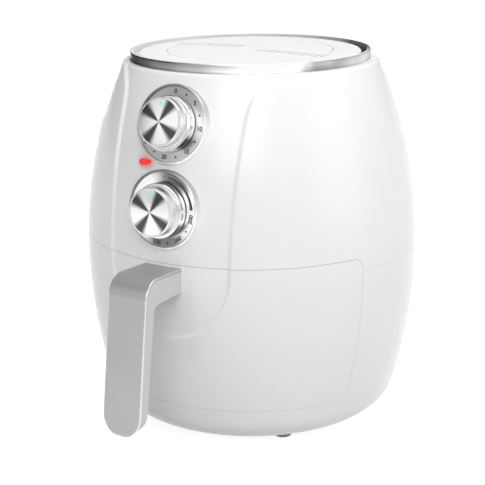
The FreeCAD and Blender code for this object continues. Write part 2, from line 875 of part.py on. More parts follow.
def make_control(name, seat, mechanism, width, depth):
    face = d.dial_lift
    rim_inner = d.dial_radius - d.dial_rim
    rim_top = face + d.dial_rim_height
    dial = Outline(d.bushing_radius, face - d.dial_thickness).line(rim_inner, face - d.dial_thickness)
    dial.line(rim_inner, -d.dial_radius / 2).line(d.dial_radius, -d.dial_radius / 2)
    dial.line(d.dial_radius, rim_top - d.dial_rim / 2)
    dial.line(d.dial_radius - d.dial_rim / 2, rim_top)
    dial.line(rim_inner, face).line(d.bushing_radius, face)
    wall = barrel(name + "_panel", d.recess_depth - d.seat_gap)
    keep(name + "_dial", cut(name + "_dial", turned(name + "_bezel", dial, seat), wall))

    foot = face + d.knob_running_gap
    top = face + d.knob_height
    bore = d.control_shaft_radius + d.running_gap
    bore_top = face + d.control_shaft_grip + d.slide_gap
    step = foot + d.knob_skirt_height
    inset = d.knob_radius - d.knob_face_inset
    pocket = top - d.knob_face_thickness
    knob = Outline(bore, foot).line(d.knob_skirt_radius, foot).line(d.knob_skirt_radius, step - d.knob_edge)
    knob.line(d.knob_skirt_radius - d.knob_edge, step).line(d.knob_radius, step)
    knob.line(d.knob_radius, top - d.knob_edge).line(d.knob_radius - d.knob_edge, top).line(inset, top)
    knob.line(inset, pocket).line(0, pocket).line(0, bore_top).line(bore, bore_top)
    keep(name + "_knob", turned(name + "_knob", knob, seat))
    disc = Outline(0, pocket).line(inset - d.seat_gap, pocket).line(inset - d.seat_gap, top).line(0, top)
    keep(name + "_knob_face", turned(name + "_knob_face", disc, seat))
    tip = inset - d.seat_gap - d.knob_edge
    half = d.pointer_width / 2
    low = (-half, tip - d.pointer_length, top)
    keep(name + "_pointer", seat_box(name + "_pointer", seat, low, (half, tip, top + d.pointer_height)))

    front = -d.mechanism_standoff
    shaft_end = front - depth / 2
    spot = inside(seat, z=shaft_end)
    shaft_length = face + d.control_shaft_grip - shaft_end
    keep(name + "_shaft", cylinder(name + "_shaft", d.control_shaft_radius, shaft_length, spot))
    half_case = width / 2
    low = (-half_case, -half_case, front - depth)
    case = seat_box(mechanism + "_case", seat, low, (half_case, half_case, front))
    bushing = cylinder(mechanism + "_bushing", d.bushing_radius, (d.mechanism_standoff - plate_depth) / 2,
                       inside(seat, z=front))
    hole = cylinder(mechanism + "_bore", bore, d.mechanism_standoff + depth,
                    inside(seat, z=shaft_end - d.slide_gap))
    keep(mechanism, cut(mechanism, fuse(mechanism + "_blank", case, bushing), hole))


# Drawer bay: floor with runners and a sheet-metal liner round the pan


def make_bay():
    edge = barrel("deck_edge", d.housing_wall + d.slide_gap)
    floor = common("deck_plate", edge, slab("deck", deck_low, deck_top))
    runners = []
    for side in (-1, 1):
        x = d.runner_spread * side
        half = d.runner_width / 2
        low = (x - half, -d.drawer_rear + d.liner_setback, deck_low)
        runners.append(box("runner", low, (x + half, d.runner_spread, deck_top + d.runner_height)))
    keep("bay_floor", fuse("bay_floor", floor, *runners))
    out, into = liner_outer, liner_inner
    front = d.liner_setback - d.drawer_rear
    sheet_line = Outline(out, front).line(out, 0).left(0, out, out).left(-out, 0, out).line(-out, front)
    sheet_line.line(-into, front).line(-into, 0).right(0, into, into).right(into, 0, into).line(into, front)
    blank = padded("liner_blank", "XY_Plane", sheet_line, deck_top, flange_low - d.slide_gap - deck_top)
    keep("bay_liner", common("bay_liner", blank, barrel("liner_edge", d.housing_wall + d.slide_gap)))


# Drawer: front shell, inner frame, pan with rolled rim, tray on silicone feet


def pan_outline(grow=0):
    """The pan in plan: a half circle behind, straight sides and two large front corners."""
    grow = as_size(grow)
    w = pan_radius + grow
    corner = d.pan_corner + grow
    front = pan_front + grow
    outline = Outline(w, 0).left(0, w, w).left(-w, 0, w).line(-w, corner - front)
    outline.left(corner - w, -front, corner).line(w - corner, -front)
    return outline.left(w, corner - front, corner)


def bowl(label, grow, low, high, rounding):
    """A side of the pan's wall as a solid: level outlines with draft, drawn in round the floor."""
    rounding = as_size(rounding)
    levels = [(rounding * (1 - math.sin(turn)), rounding * (1 - math.cos(turn))) for turn in FLOOR_TURNS]
    levels.append((as_size(0), as_size(high) - low))
    sections = []
    for inset, rise in levels:
        draft = d.pan_draft * (as_size(high) - low - rise) / (as_size(high) - low)
        sketch = doc.addObject("Sketcher::SketchObject", label + "_section")
        sketch.Placement = at(0, 0, as_size(low) + rise)
        draw(sketch, pan_outline(as_size(grow) - draft - inset))
        sections.append(sketch)
    obj = doc.addObject("Part::Loft", label)
    obj.Sections = sections
    obj.Solid = True
    obj.Ruled = True
    return obj


def make_drawer():
    ring = ledge("frame_ledge", upper_radius(pan_top), frame_low - d.ledge_thickness)
    block = drawer_block("drawer_block")
    front = fuse("front_blank", common("front_wall", shell, block), common("front_ledge", ring, block))
    tools = [handle_hole("front_screw_hole", side) for side in (-1, 1)]
    keep("drawer_front", cut("drawer_front", front, *tools))

    space = barrel("frame_edge", d.housing_wall + d.slide_gap)
    rear = -frame_rear
    layer = box("frame_slab", (-REACH, -REACH, frame_low), (REACH, rear, pan_rim_low))
    deck = common("frame_deck", space, layer)
    web_low = (-REACH, rear - d.frame_thickness, pan_bottom)
    web = common("frame_web", space, box("web_slab", web_low, (REACH, rear, frame_low + d.frame_thickness)))
    pan_space = padded("pan_space", "XY_Plane", pan_outline(d.seat_gap), 0, REACH)
    clear = ledge("ledge_space", upper_radius(pan_top), frame_low - d.ledge_thickness, d.seat_gap)
    frame = common("frame_blank", fuse("frame_plates", deck, web), block)
    keep("drawer_frame", cut("drawer_frame", frame, pan_space, clear))

    outer = bowl("pan_skin", 0, pan_bottom, pan_top, d.pan_floor_round + d.pan_wall)
    inner = bowl("pan_hollow", -d.pan_wall, pan_floor, pan_top + d.pan_wall, d.pan_floor_round)
    rim = padded("pan_rim", "XY_Plane", pan_outline(d.pan_rim), pan_rim_low, d.pan_rim_thickness)
    keep("pan", cut("pan", fuse("pan_blank", outer, rim), inner))
    make_tray()


def make_tray():
    low = pan_floor + d.tray_height
    edge = -d.pan_draft - d.pan_wall - d.tray_gap
    blank = padded("tray_blank", "XY_Plane", pan_outline(edge), low, d.tray_thickness + d.tray_rim_height)
    hollow = padded("tray_hollow", "XY_Plane", pan_outline(edge - d.tray_thickness), low + d.tray_thickness,
                    d.tray_rim_height + d.tray_thickness)
    tools = [hollow]
    limit = pan_radius.value + edge.value - d.tray_slot_length.value
    half_x = d.tray_slot_length / 2
    half_y = d.tray_slot_width / 2
    for column in TRAY_COLUMNS:
        for line in TRAY_ROWS:
            x = d.tray_slot_pitch * column
            y = d.tray_slot_pitch * line
            if math.hypot(x.value, y.value) < limit:
                corner = (x - half_x, y - half_y, 0)
                tools.append(box("tray_slot", corner, (x + half_x, y + half_y, low + d.tray_height)))
    keep("crisper_tray", cut("crisper_tray", blank, *tools))
    feet = []
    for angle in CORNER_ANGLES:
        spot = around(d.tray_foot_spread, angle, pan_floor + d.slide_gap)
        feet.append(cylinder("tray_foot", d.tray_foot_radius, d.tray_height - d.slide_gap, spot))
    keep("tray_feet", group("tray_feet", feet))


# Handle: an inverted L with a metal skin over its outer side


def handle_outline(inset=0):
    """The handle in side view, its outer side moved inwards by the inset."""
    inset = as_size(inset)
    corner = d.handle_corner - inset
    top = d.handle_arm_top + d.handle_arm_rise - inset
    reach = d.handle_reach - inset
    front = handle_front - inset
    half = d.grip_thickness / 2
    low = d.handle_bottom + half
    inner = d.handle_reach - d.grip_thickness
    back = handle_front - d.grip_thickness
    bend = d.handle_inner_corner
    outline = Outline(0, d.handle_arm_bottom).line(0, d.handle_arm_top - inset).line(corner - reach, top)
    outline.left(-reach, top - corner, corner).line(-front, low)
    outline.left(half - handle_front, d.handle_bottom + inset, half).left(-back, low, half)
    outline.line(-inner, d.handle_arm_bottom - bend)
    return outline.right(bend - inner, d.handle_arm_bottom, bend)


def handle_blank(label, inset=0):
    """The handle's side outline crossed with its front view, which ends in a half round."""
    half = d.handle_width / 2
    side = padded(label + "_side", "YZ_Plane", handle_outline(inset), -half, d.handle_width)
    view = stadium(half, d.handle_bottom + half, d.handle_arm_top + d.handle_width)
    return common(label + "_blank", side, padded(label + "_view", "XZ_Plane", view, 0, REACH))


def handle_hole(label, side):
    spot = at(d.handle_screw_spread * side, 0, d.handle_screw_height, FORWARD)
    return cylinder(label, d.handle_screw_radius + d.running_gap * 2, screw_tip() + d.slide_gap, spot)


def screw_seat():
    """Where the handle screws' heads bear on the inside of the drawer front."""
    inner = upper_radius(d.handle_screw_height) - d.housing_wall
    edge = d.handle_screw_spread + d.handle_screw_head
    return root(square(inner) - square(edge)) - d.seat_gap


def screw_tip():
    return screw_seat() + d.handle_screw_length


def make_handle():
    wall = barrel("handle_seat", d.recess_depth - d.seat_gap)
    holes = [handle_hole("handle_bore", side) for side in (-1, 1)]
    core = handle_blank("core", d.handle_skin + d.seat_gap)
    keep("handle_body", cut("handle_body", core, wall, *holes))
    layer = cut("skin_layer", handle_blank("skin"), handle_blank("skin_bed", d.handle_skin))
    keep("handle_skin", cut("handle_skin", layer, wall))
    outline = Outline(0, -d.handle_screw_head / 2).line(d.handle_screw_head, -d.handle_screw_head / 2)
    outline.line(d.handle_screw_head, 0).line(d.handle_screw_radius, 0)
    outline.line(d.handle_screw_radius, d.handle_screw_length).line(0, d.handle_screw_length)
    screws = []
    for side in (-1, 1):
        spot = at(d.handle_screw_spread * side, -screw_seat(), d.handle_screw_height, FORWARD)
        screws.append(turned("handle_screw", outline, spot))
    keep("handle_screws", group("handle_screws", screws))


# Cooking chamber with its guard and heating element


def element_ends():
    """Plan positions of the two tails of the element, outer tail first."""
    outer_spin = 90 + ELEMENT_OPENING
    inner_spin = outer_spin + ELEMENT_OPENING / 2
    outer = element_tail(d.element_outer.value, outer_spin, -1)
    inner = element_tail(d.element_inner.value, inner_spin, -1)
    return outer, inner


def on_circle(radius, angle, height=0):
    spin = math.radians(angle)
    return Vector(radius * math.cos(spin), radius * math.sin(spin), height)


def tangent(angle, way):
    spin = math.radians(angle)
    return Vector(-math.sin(spin), math.cos(spin), 0) * way


def element_tail(radius, angle, way):
    """The foot of a tail, one bend radius along the tangent from the ring's end."""
    return on_circle(radius, angle) + tangent(angle, way) * d.element_bend.value


def ring_arcs(radius, start, end, height, pieces=3):
    """A long arc in equal pieces, each under a half circle."""
    step = (end - start) / pieces
    arcs = []
    for number in range(pieces):
        begin = start + step * number
        spots = [on_circle(radius, begin + step * share, height) for share in (0, 0.5, 1)]
        arcs.append(Part.Arc(*spots))
    return arcs


def make_chamber():
    inner = d.chamber_radius
    outer = inner + d.chamber_sheet
    can = Outline(inner, flange_low).line(flange_radius, flange_low).line(flange_radius, flange_high)
    can.line(outer, flange_high).line(outer, chamber_roof).line(d.chamber_hole, chamber_roof)
    can.line(d.chamber_hole, chamber_top).line(inner, chamber_top)
    tools = []
    screws = []
    insulators = []
    for angle in CORNER_ANGLES:
        spot = around(chamber_screw_circle, angle, flange_low)
        tools.append(screw_hole("flange_hole", d.chamber_sheet, spot))
        screws.append(screw("chamber_screw", d.chamber_sheet + d.ledge_thickness / 2, spot))
    for end in element_ends():
        spot = at(end.x, end.y, chamber_top)
        tools.append(cylinder("tail_hole", d.element_tube + d.slide_gap, d.chamber_sheet, spot))
        bush = ring_section(d.element_tube + d.running_gap, d.insulator_radius, 0, d.insulator_height)
        insulators.append(turned("insulator", bush, at(end.x, end.y, chamber_roof)))
    keep("cooking_chamber", cut("cooking_chamber", turned("chamber_can", can), *tools))
    keep("chamber_screws", group("chamber_screws", screws))
    keep("element_insulators", group("element_insulators", insulators))


guard_height = flange_high + d.guard_rise
element_height = guard_height + d.element_rise


def make_guard():
    """Flat-wire hoops on bars that cross the chamber's mouth."""
    rim = d.chamber_radius - d.slide_gap - d.guard_wire
    low = guard_height - d.guard_wire
    high = guard_height + d.guard_wire
    wires = []
    for number in range(GUARD_HOOPS):
        radius = rim - d.guard_hoop_step * number
        section = ring_section(radius - d.guard_wire, radius + d.guard_wire, low, high)
        wires.append(turned("guard_hoop", section))
    for number in range(GUARD_BARS):
        wires.append(spoke("guard_bar", 360 / GUARD_BARS * number, 0, rim, d.guard_wire * 2, low, high))
    keep("fan_guard", fuse("fan_guard", *wires))


def make_element():
    """A ring that doubles back on itself, both tails rising through the chamber's roof at the back."""
    outer, inner, bend = d.element_outer.value, d.element_inner.value, d.element_bend.value
    level = element_height.value
    tail_top = chamber_roof.value + d.insulator_height.value + d.element_tail.value
    start = 90 + ELEMENT_OPENING
    stop = 360 + 90 - ELEMENT_OPENING
    finish = start + ELEMENT_OPENING / 2
    up = Vector(0, 0, 1)

    def tail(radius, angle):
        end = on_circle(radius, angle, level)
        way = tangent(angle, -1)
        centre = end + up * bend
        middle = centre + (way - up) * (bend / math.sqrt(2))
        foot = centre + way * bend
        head = Vector(foot.x, foot.y, tail_top)
        return end, middle, foot, head

    end, middle, foot, head = tail(outer, start)
    path = [Part.LineSegment(head, foot), Part.Arc(foot, middle, end)]
    path += ring_arcs(outer, start, stop, level)
    mid_radius = (outer + inner) / 2
    turn_tip = on_circle(mid_radius, stop, level) + tangent(stop, 1) * ((outer - inner) / 2)
    path.append(Part.Arc(on_circle(outer, stop, level), turn_tip, on_circle(inner, stop, level)))
    path += ring_arcs(inner, stop, finish, level)
    end, middle, foot, head_two = tail(inner, finish)
    path += [Part.Arc(end, middle, foot), Part.LineSegment(foot, head_two)]
    wire = Part.Wire([piece.toShape() for piece in path])
    side_angle = 360 / TUBE_SIDES
    corners = [on_circle(d.element_tube.value, side_angle * number) for number in range(TUBE_SIDES + 1)]
    section = Part.makePolygon([head + corner for corner in corners])
    tube = doc.addObject("Part::Feature", "heating_element")
    tube.Shape = wire.makePipeShell([section], True, False)
    tube.Placement = at()
    keep("heating_element", tube)


# Motor on its bracket, one shaft, the fan in the chamber and the cooling fan above


motor_low = chamber_roof + d.bracket_height
motor_top = motor_low + d.motor_height
fan_top = chamber_top - d.fan_headroom
fan_low = fan_top - d.fan_height
cooling_low = motor_top + d.motor_boss_height + d.cooling_fan_gap
cooling_top = cooling_low + d.cooling_fan_height
hub_bore = d.motor_shaft_radius + d.running_gap


def make_motor():
    plate_low = motor_low - d.bracket_thickness
    hole = d.motor_boss_radius + d.slide_gap
    edge = d.motor_radius + d.bracket_thickness
    plate = turned("bracket_plate", ring_section(hole, edge, plate_low, motor_low))
    legs = []
    for angle in (90, 210, 330):
        spot = around(d.bracket_leg_spread, angle, chamber_roof)
        legs.append(cylinder("bracket_leg", d.bracket_leg_radius, plate_low - chamber_roof, spot))
    keep("motor_bracket", fuse("motor_bracket", plate, *legs))
    boss_low = motor_low - d.motor_boss_height
    boss_top = motor_top + d.motor_boss_height
    boss = d.motor_boss_radius
    case = Outline(hub_bore, boss_low).line(boss, boss_low).line(boss, motor_low)
    case.line(d.motor_radius, motor_low).line(d.motor_radius, motor_top).line(boss, motor_top)
    case.line(boss, boss_top).line(hub_bore, boss_top)
    keep("fan_motor", turned("fan_motor", case))
    shaft_low = fan_low - d.fan_nut_height
    spot = at(0, 0, shaft_low)
    keep("motor_shaft", cylinder("motor_shaft", d.motor_shaft_radius, cooling_top - shaft_low, spot))
    nut = doc.addObject("Part::Prism", "nut_blank")
    nut.Polygon = 6
    bind(nut, "Circumradius", d.fan_nut_radius)
    bind(nut, "Height", d.fan_nut_height)
    nut.Placement = spot
    keep("fan_nut", cut("fan_nut", nut, cylinder("nut_bore", hub_bore, d.fan_nut_height, spot)))


def make_convection_fan():
    """A sheet disc on a hub with straight blades under it."""
    disc_low = fan_top - d.fan_sheet
    wheel = Outline(hub_bore, fan_low).line(d.fan_hub_radius, fan_low).line(d.fan_hub_radius, disc_low)
    wheel.line(d.fan_radius, disc_low).line(d.fan_radius, fan_top).line(hub_bore, fan_top)
    body = turned("convection_fan", wheel)
    half = d.fan_sheet / 2
    strip = Outline(d.fan_blade_root, -half).line(d.fan_radius, -half).line(d.fan_radius, half)
    strip.line(d.fan_blade_root, half)
    blade = body.newObject("PartDesign::Pad", "blade")
    blade.Profile = new_sketch(body, "XY_Plane", strip, fan_low)
    bind(blade, "Length", d.fan_height - half)
    doc.recompute()
    pattern = body.newObject("PartDesign::PolarPattern", "blades")
    pattern.Originals = [blade]
    pattern.Axis = (next(f for f in body.Origin.OriginFeatures if f.Role == "Z_Axis"), [""])
    pattern.Angle = 360
    pattern.Occurrences = FAN_BLADES
    body.Tip = pattern
    keep("convection_fan", body)


def make_cooling_fan():
    """A hub with flat blades set at a pitch."""
    middle = (cooling_low + cooling_top) / 2
    hub = turned("cooling_hub", ring_section(hub_bore, d.cooling_fan_hub, cooling_low, cooling_top))
    blades = []
    reach = d.cooling_fan_radius - d.cooling_fan_hub / 2
    pitch = turn(Vector(1, 0, 0), d.cooling_blade_pitch.value)
    for number in range(COOLING_BLADES):
        spin = turn(Vector(0, 0, 1), 360 / COOLING_BLADES * number)
        blade = doc.addObject("Part::Box", "cooling_blade")
        bind(blade, "Length", reach)
        bind(blade, "Width", d.cooling_blade_chord)
        bind(blade, "Height", d.cooling_blade_sheet)
        corner = Vector(d.cooling_fan_hub.value / 2, 0, 0) + pitch.multVec(
            Vector(0, -d.cooling_blade_chord.value / 2, -d.cooling_blade_sheet.value / 2))
        spot = spin.multVec(corner)
        blade.Placement = at(spot.x, spot.y, middle + spot.z, spin.multiply(pitch))
        blades.append(blade)
    keep("cooling_fan", fuse("cooling_fan", hub, *blades))


# Behind: an air grille in the upper housing and a cord gland in the lower one


def make_rear():
    skin = cut("grille_skin", barrel("grille_front", d.grille_inset),
               barrel("grille_back", d.grille_inset + d.grille_thickness))
    half = d.grille_width / 2 - d.grille_border
    slots = []
    for number in GRILLE_ROWS:
        low = d.grille_centre + d.grille_pitch * number - d.grille_slot / 2
        slots.append(box("grille_slot", (-half, 0, low), (half, REACH, low + d.grille_slot)))
    plate = common("grille_plate", skin, grille_block("grille_block"))
    keep("rear_grille", cut("rear_grille", plate, *slots))
    wall = lower_radius(d.gland_height)
    flange = d.gland_radius + d.gland_flange
    thick = d.gland_flange_thickness
    sag = wall - root(square(wall) - square(flange))
    into = -d.housing_wall - sag - d.seat_gap * 2
    plug = Outline(d.gland_bore, into - thick).line(flange, into - thick).line(flange, into)
    plug.line(d.gland_radius, into).line(d.gland_radius, d.seat_gap).line(flange, d.seat_gap)
    plug.line(flange, d.seat_gap + thick).line(d.gland_bore, d.seat_gap + thick)
    keep("cord_gland", turned("cord_gland", plug, gland_seat()))


def gland_seat():
    """Local Z runs out of the rear wall, square to it."""
    slope = math.degrees(math.asin(((d.belly_height - d.gland_height) / d.lower_arc).value))
    return at(0, lower_radius(d.gland_height), d.gland_height, turn(Vector(1, 0, 0), -90 - slope))


make_upper_housing()
make_lower_housing()
make_underside()
make_top()
make_control_plate()
make_indicator()
make_control("timer", timer_seat, "timer_mechanism", d.timer_width, d.timer_depth)
make_control("temperature", temperature_seat, "thermostat", d.thermostat_width, d.thermostat_depth)
make_bay()
make_drawer()
make_handle()
make_chamber()
make_guard()
make_element()
make_motor()
make_convection_fan()
make_cooling_fan()
make_rear()
doc.recompute()

# Every object has to be sound before anything is written

for obj in doc.Objects:
    if {"Invalid", "Error"} & set(obj.State):
        raise RuntimeError(f"{obj.Label} failed: {obj.State}")
for obj in nodes:
    if obj.Shape.isNull() or not obj.Shape.isValid() or not obj.Shape.Solids:
        raise RuntimeError(f"{obj.Label} has no sound shape")

os.makedirs("parts", exist_ok=True)
for obj in nodes:
    obj.Shape.exportStep(f"parts/{obj.Label}.step")
print(len(nodes), "nodes")
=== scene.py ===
import json
import math

import bmesh
import bpy
from mathutils import Matrix, Vector


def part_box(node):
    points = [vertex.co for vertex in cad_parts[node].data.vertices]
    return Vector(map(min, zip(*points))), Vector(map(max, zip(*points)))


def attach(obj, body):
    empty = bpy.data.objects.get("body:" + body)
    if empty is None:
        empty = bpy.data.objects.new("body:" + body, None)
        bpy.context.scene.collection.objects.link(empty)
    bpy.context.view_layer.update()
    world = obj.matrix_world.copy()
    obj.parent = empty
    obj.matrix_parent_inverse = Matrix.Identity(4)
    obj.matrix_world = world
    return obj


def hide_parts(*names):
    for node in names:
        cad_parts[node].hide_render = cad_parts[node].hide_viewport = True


# The dressed drawer fryer: smooth moulded shells, turned metal, printed dials and studio light.
# Sizes are millimetres until a mesh is made; places and sizes come from the frame where it holds them.

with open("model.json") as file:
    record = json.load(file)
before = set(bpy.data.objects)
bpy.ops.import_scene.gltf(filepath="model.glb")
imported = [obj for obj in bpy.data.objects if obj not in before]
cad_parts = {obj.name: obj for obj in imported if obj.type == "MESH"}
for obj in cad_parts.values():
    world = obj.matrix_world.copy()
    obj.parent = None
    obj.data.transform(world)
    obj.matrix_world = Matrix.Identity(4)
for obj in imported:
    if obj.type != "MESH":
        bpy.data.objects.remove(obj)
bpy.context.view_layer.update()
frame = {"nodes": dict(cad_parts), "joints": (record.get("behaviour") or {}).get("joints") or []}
nodes = frame["nodes"]
joints = {joint["name"]: joint for joint in frame["joints"]}
MM = 0.001


def low(node):
    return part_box(node)[0] / MM


def high(node):
    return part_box(node)[1] / MM


def middle_and_half(node):
    """The middle of a node's box, and half its size."""
    return (low(node) + high(node)) / 2, (high(node) - low(node)) / 2


# Sizes of the moulded barrel

AXIS_Y = joints["fan_spin"]["pos_m"][1] / MM
BELLY_RADIUS = min(high("lower_housing").x, high("lower_housing").y - AXIS_Y)
BELLY_HEIGHT = 137
UPPER_ARC = 380
LOWER_ARC = 420
BASE_HEIGHT = low("lower_housing").z
BASE_ROUND = 26
BASE_OPENING = 76
SHOULDER_HEIGHT = high("upper_housing").z
SHOULDER_ROUND = 4
SHELL_WALL = 3.2
SHELL_EDGE = 0.22
SEAM = low("upper_housing").z
SEAM_GAP = 0.14
DRAWER_TOP = high("drawer_front").z
DRAWER_BOTTOM = low("drawer_front").z
DRAWER_REAR = AXIS_Y - high("drawer_front").y
DRAWER_TOP_ROUND = 8
DRAWER_BOTTOM_ROUND = 14
SHUT_GAP = 0.3

# The tongue sunk into the front: its mouth spreads and its edges soften under the ring

TONGUE_HALF_WIDTH = 51.5
TONGUE_FLARE = 2
TONGUE_END = 148.5
MOUTH_START, MOUTH_END, MOUTH_SPREAD = 258, 290, 9
RECESS_DEPTH = 1.8
RECESS_SLOPE = 2.7
SOFT_START, SOFT_END, SOFT_WIDTH = 272, 292, 6

# The control plate set into the tongue

PLATE_LAP = 3
PLATE_HALF_WIDTH = high("control_plate").x - PLATE_LAP
PLATE_GAP = 0.02
PLATE_EDGE = 0.05
PLATE_LOW_END, PLATE_HIGH_END = 195, 256.5

# How finely the barrel is meshed: steps up and across it in millimetres, turns in radians

ROW_STEP = 1.2
BASE_STEP = 4
BASE_ROUND_STEPS = 12
SHOULDER_STEP = 3
SHOULDER_ROUND_STEPS = 8
UPPER_CORNER_TURN = 0.16
CORNER_TURN = 0.12
FINE_ANGLE = math.radians(42)
FINE_TURN = math.radians(0.45)
COARSE_TURN = math.radians(1.5)
PLATE_STEP = 2
PLATE_TURN = 0.06
PLATE_SHARE = 0.05
WINDOW_STEPS = 48
WINDOW_REACH = (60, 200)

# The ring and the cover at the top; roundings follow the corners of a section

RING_INSET = 1.2
RING_RADIUS = high("top_ring").x - RING_INSET
RING_TOP = high("top_ring").z
RING_OPENING = 87.9
RING_WALL = 3
RING_LIP = 1.2
RING_FLANGE = 2
RING_ROUNDS = (0.2, 0.5, RING_LIP, 0.7, 0.3, 0.2)
COVER_RADIUS = 89.5
COVER_LINE, COVER_LINE_HALF_WIDTH, COVER_LINE_DEPTH = 67, 0.45, 1.6
COVER_ROUNDS = (0, 0.3, 2.2, 0.1, 0, 0, 0.1)
DOME_RISE = 1.1
DOME_INSET = 2
DOME_STEP = 8
VENT_COUNT = 11
VENT_PITCH = 5.8
VENT_START = 13
VENT_REACH = (2, 15)
VENT_WIDTH = 2.4
VENT_CUT = (1, 5)

# The dials and knobs, with heights over the panel

DIAL_RADIUS = 30
DIAL_RIM = 2
DIAL_RIM_TOP = 2.5
DIAL_RIM_FALL = 0.3
DIAL_RIM_ROUNDS = (0, 0, 0.9, 0.6)
DIAL_FACE = 1.4
DIAL_SHEET = 1
DIAL_FACE_ROUNDS = (0.1, 0, 0, 0.2)
DIAL_FOOT = -7
DIAL_HOLE = 5
KNOB_BORE = 3.05
KNOB_FOOT = 2.2
KNOB_RADIUS = 18.3
KNOB_TOP = 18.8
KNOB_GROOVE, KNOB_GROOVE_DEPTH = 17.1, 0.22
KNOB_ROUNDS = (0.2, 0.4, 0.9, 0.3, 0.15, 0.1, 0.15, 0.7, 0.15, 0.1, 0.1)
SKIRT_RADIUS = 20.7
SKIRT_TOP = 8.7
SKIRT_MARGIN = 0.2
FACE_RADIUS = 17
FACE_FLOOR = 18
DISC_GAP = 0.1
DISC_SUNK = 0.05
DISC_ROUNDS = (0, 0.1, 0.15, 0)

# Print on the dials; degrees run clockwise from the top

INK = 0.06
NUMERAL_SIZE = 4.6
NUMERAL_WEIGHT = 0.19
NUMERAL_STEPS = 4
DOT_RADIUS = 0.85
DOT_STEP = 30
TIMER_NUMBERS = ("0", "5", "10", "15", "20", "25")
TIMER_STEP = 46.7
TIMER_CIRCLE = 24.6
HEAT_NUMBERS = (("200", 100), ("260", 146), ("330", 190), ("400", 234))
HEAT_DOTS = (123, 168, 212, 250)
HEAT_CIRCLE = 25
HEAT_ARC = (9, 84)
HEAT_ARC_STEP = 3
HEAT_ARC_WIDTH, HEAT_ARC_GROWTH = 0.4, 0.9
TICK_HALF_WIDTH, TICK_HALF_LENGTH = 0.35, 1.2

# The handle: a satin skin over the top, the front and the end, on a moulded body

HANDLE_HALF_WIDTH = high("handle_skin").x
HANDLE_FRONT = AXIS_Y - low("handle_skin").y
HANDLE_BOTTOM = low("handle_skin").z
HANDLE_TOP = high("handle_skin").z
HANDLE_REACH = 181
HANDLE_ROOT = 133
HANDLE_CORNER = 16
HANDLE_CORNER_STEPS = 16
HANDLE_INNER_CORNER = 6
HANDLE_TIP = 2.4
HANDLE_TIP_STEPS = 6
HANDLE_TIP_HALF_WIDTH = math.sqrt(0.1)
HANDLE_TURN = 0.1
HANDLE_SKIN = 1.6
SKIN_GAP = 0.5
SKIN_STAND = 0.5
SKIN_EDGE = 0.7
SKIN_EDGE_SHARE = 0.6
SKIN_EDGE_STEPS = 4
GRIP = 10.6
GRIP_EDGE = 0.8
GRIP_STEPS = 40
GRIP_VIEW_REACH = (100, 230)
ARM_TOP = 152.5
ARM_BOTTOM = 134

# How pieces are joined, smoothed and rounded; angles in degrees

JOIN_DISTANCE = 1e-7
LATHE_SIDES = 128
ROUND_STEPS = 3
SMOOTH_ANGLE = 32
FLAT_FACE_WEIGHT = 60
EDGE_ANGLE = 50
CAD_EDGE_ANGLE = 30
CAD_FLAT_ANGLE = 0.5
CAD_WELD = 0.002

# Node helpers


class Nodes:
    """A node tree, with short ways to add and join its nodes."""

    def __init__(self, tree):
        self.tree = tree

    def join(self, target, value):
        """Give a socket a constant, or another node's output."""
        if isinstance(value, bpy.types.NodeSocket):
            self.tree.links.new(value, target)
        else:
            target.default_value = value

    def add(self, kind, inputs=None, **values):
        node = self.tree.nodes.new(kind)
        for name, value in values.items():
            setattr(node, name, value)
        for name, value in (inputs or {}).items():
            self.join(node.inputs[name], value)
        return node


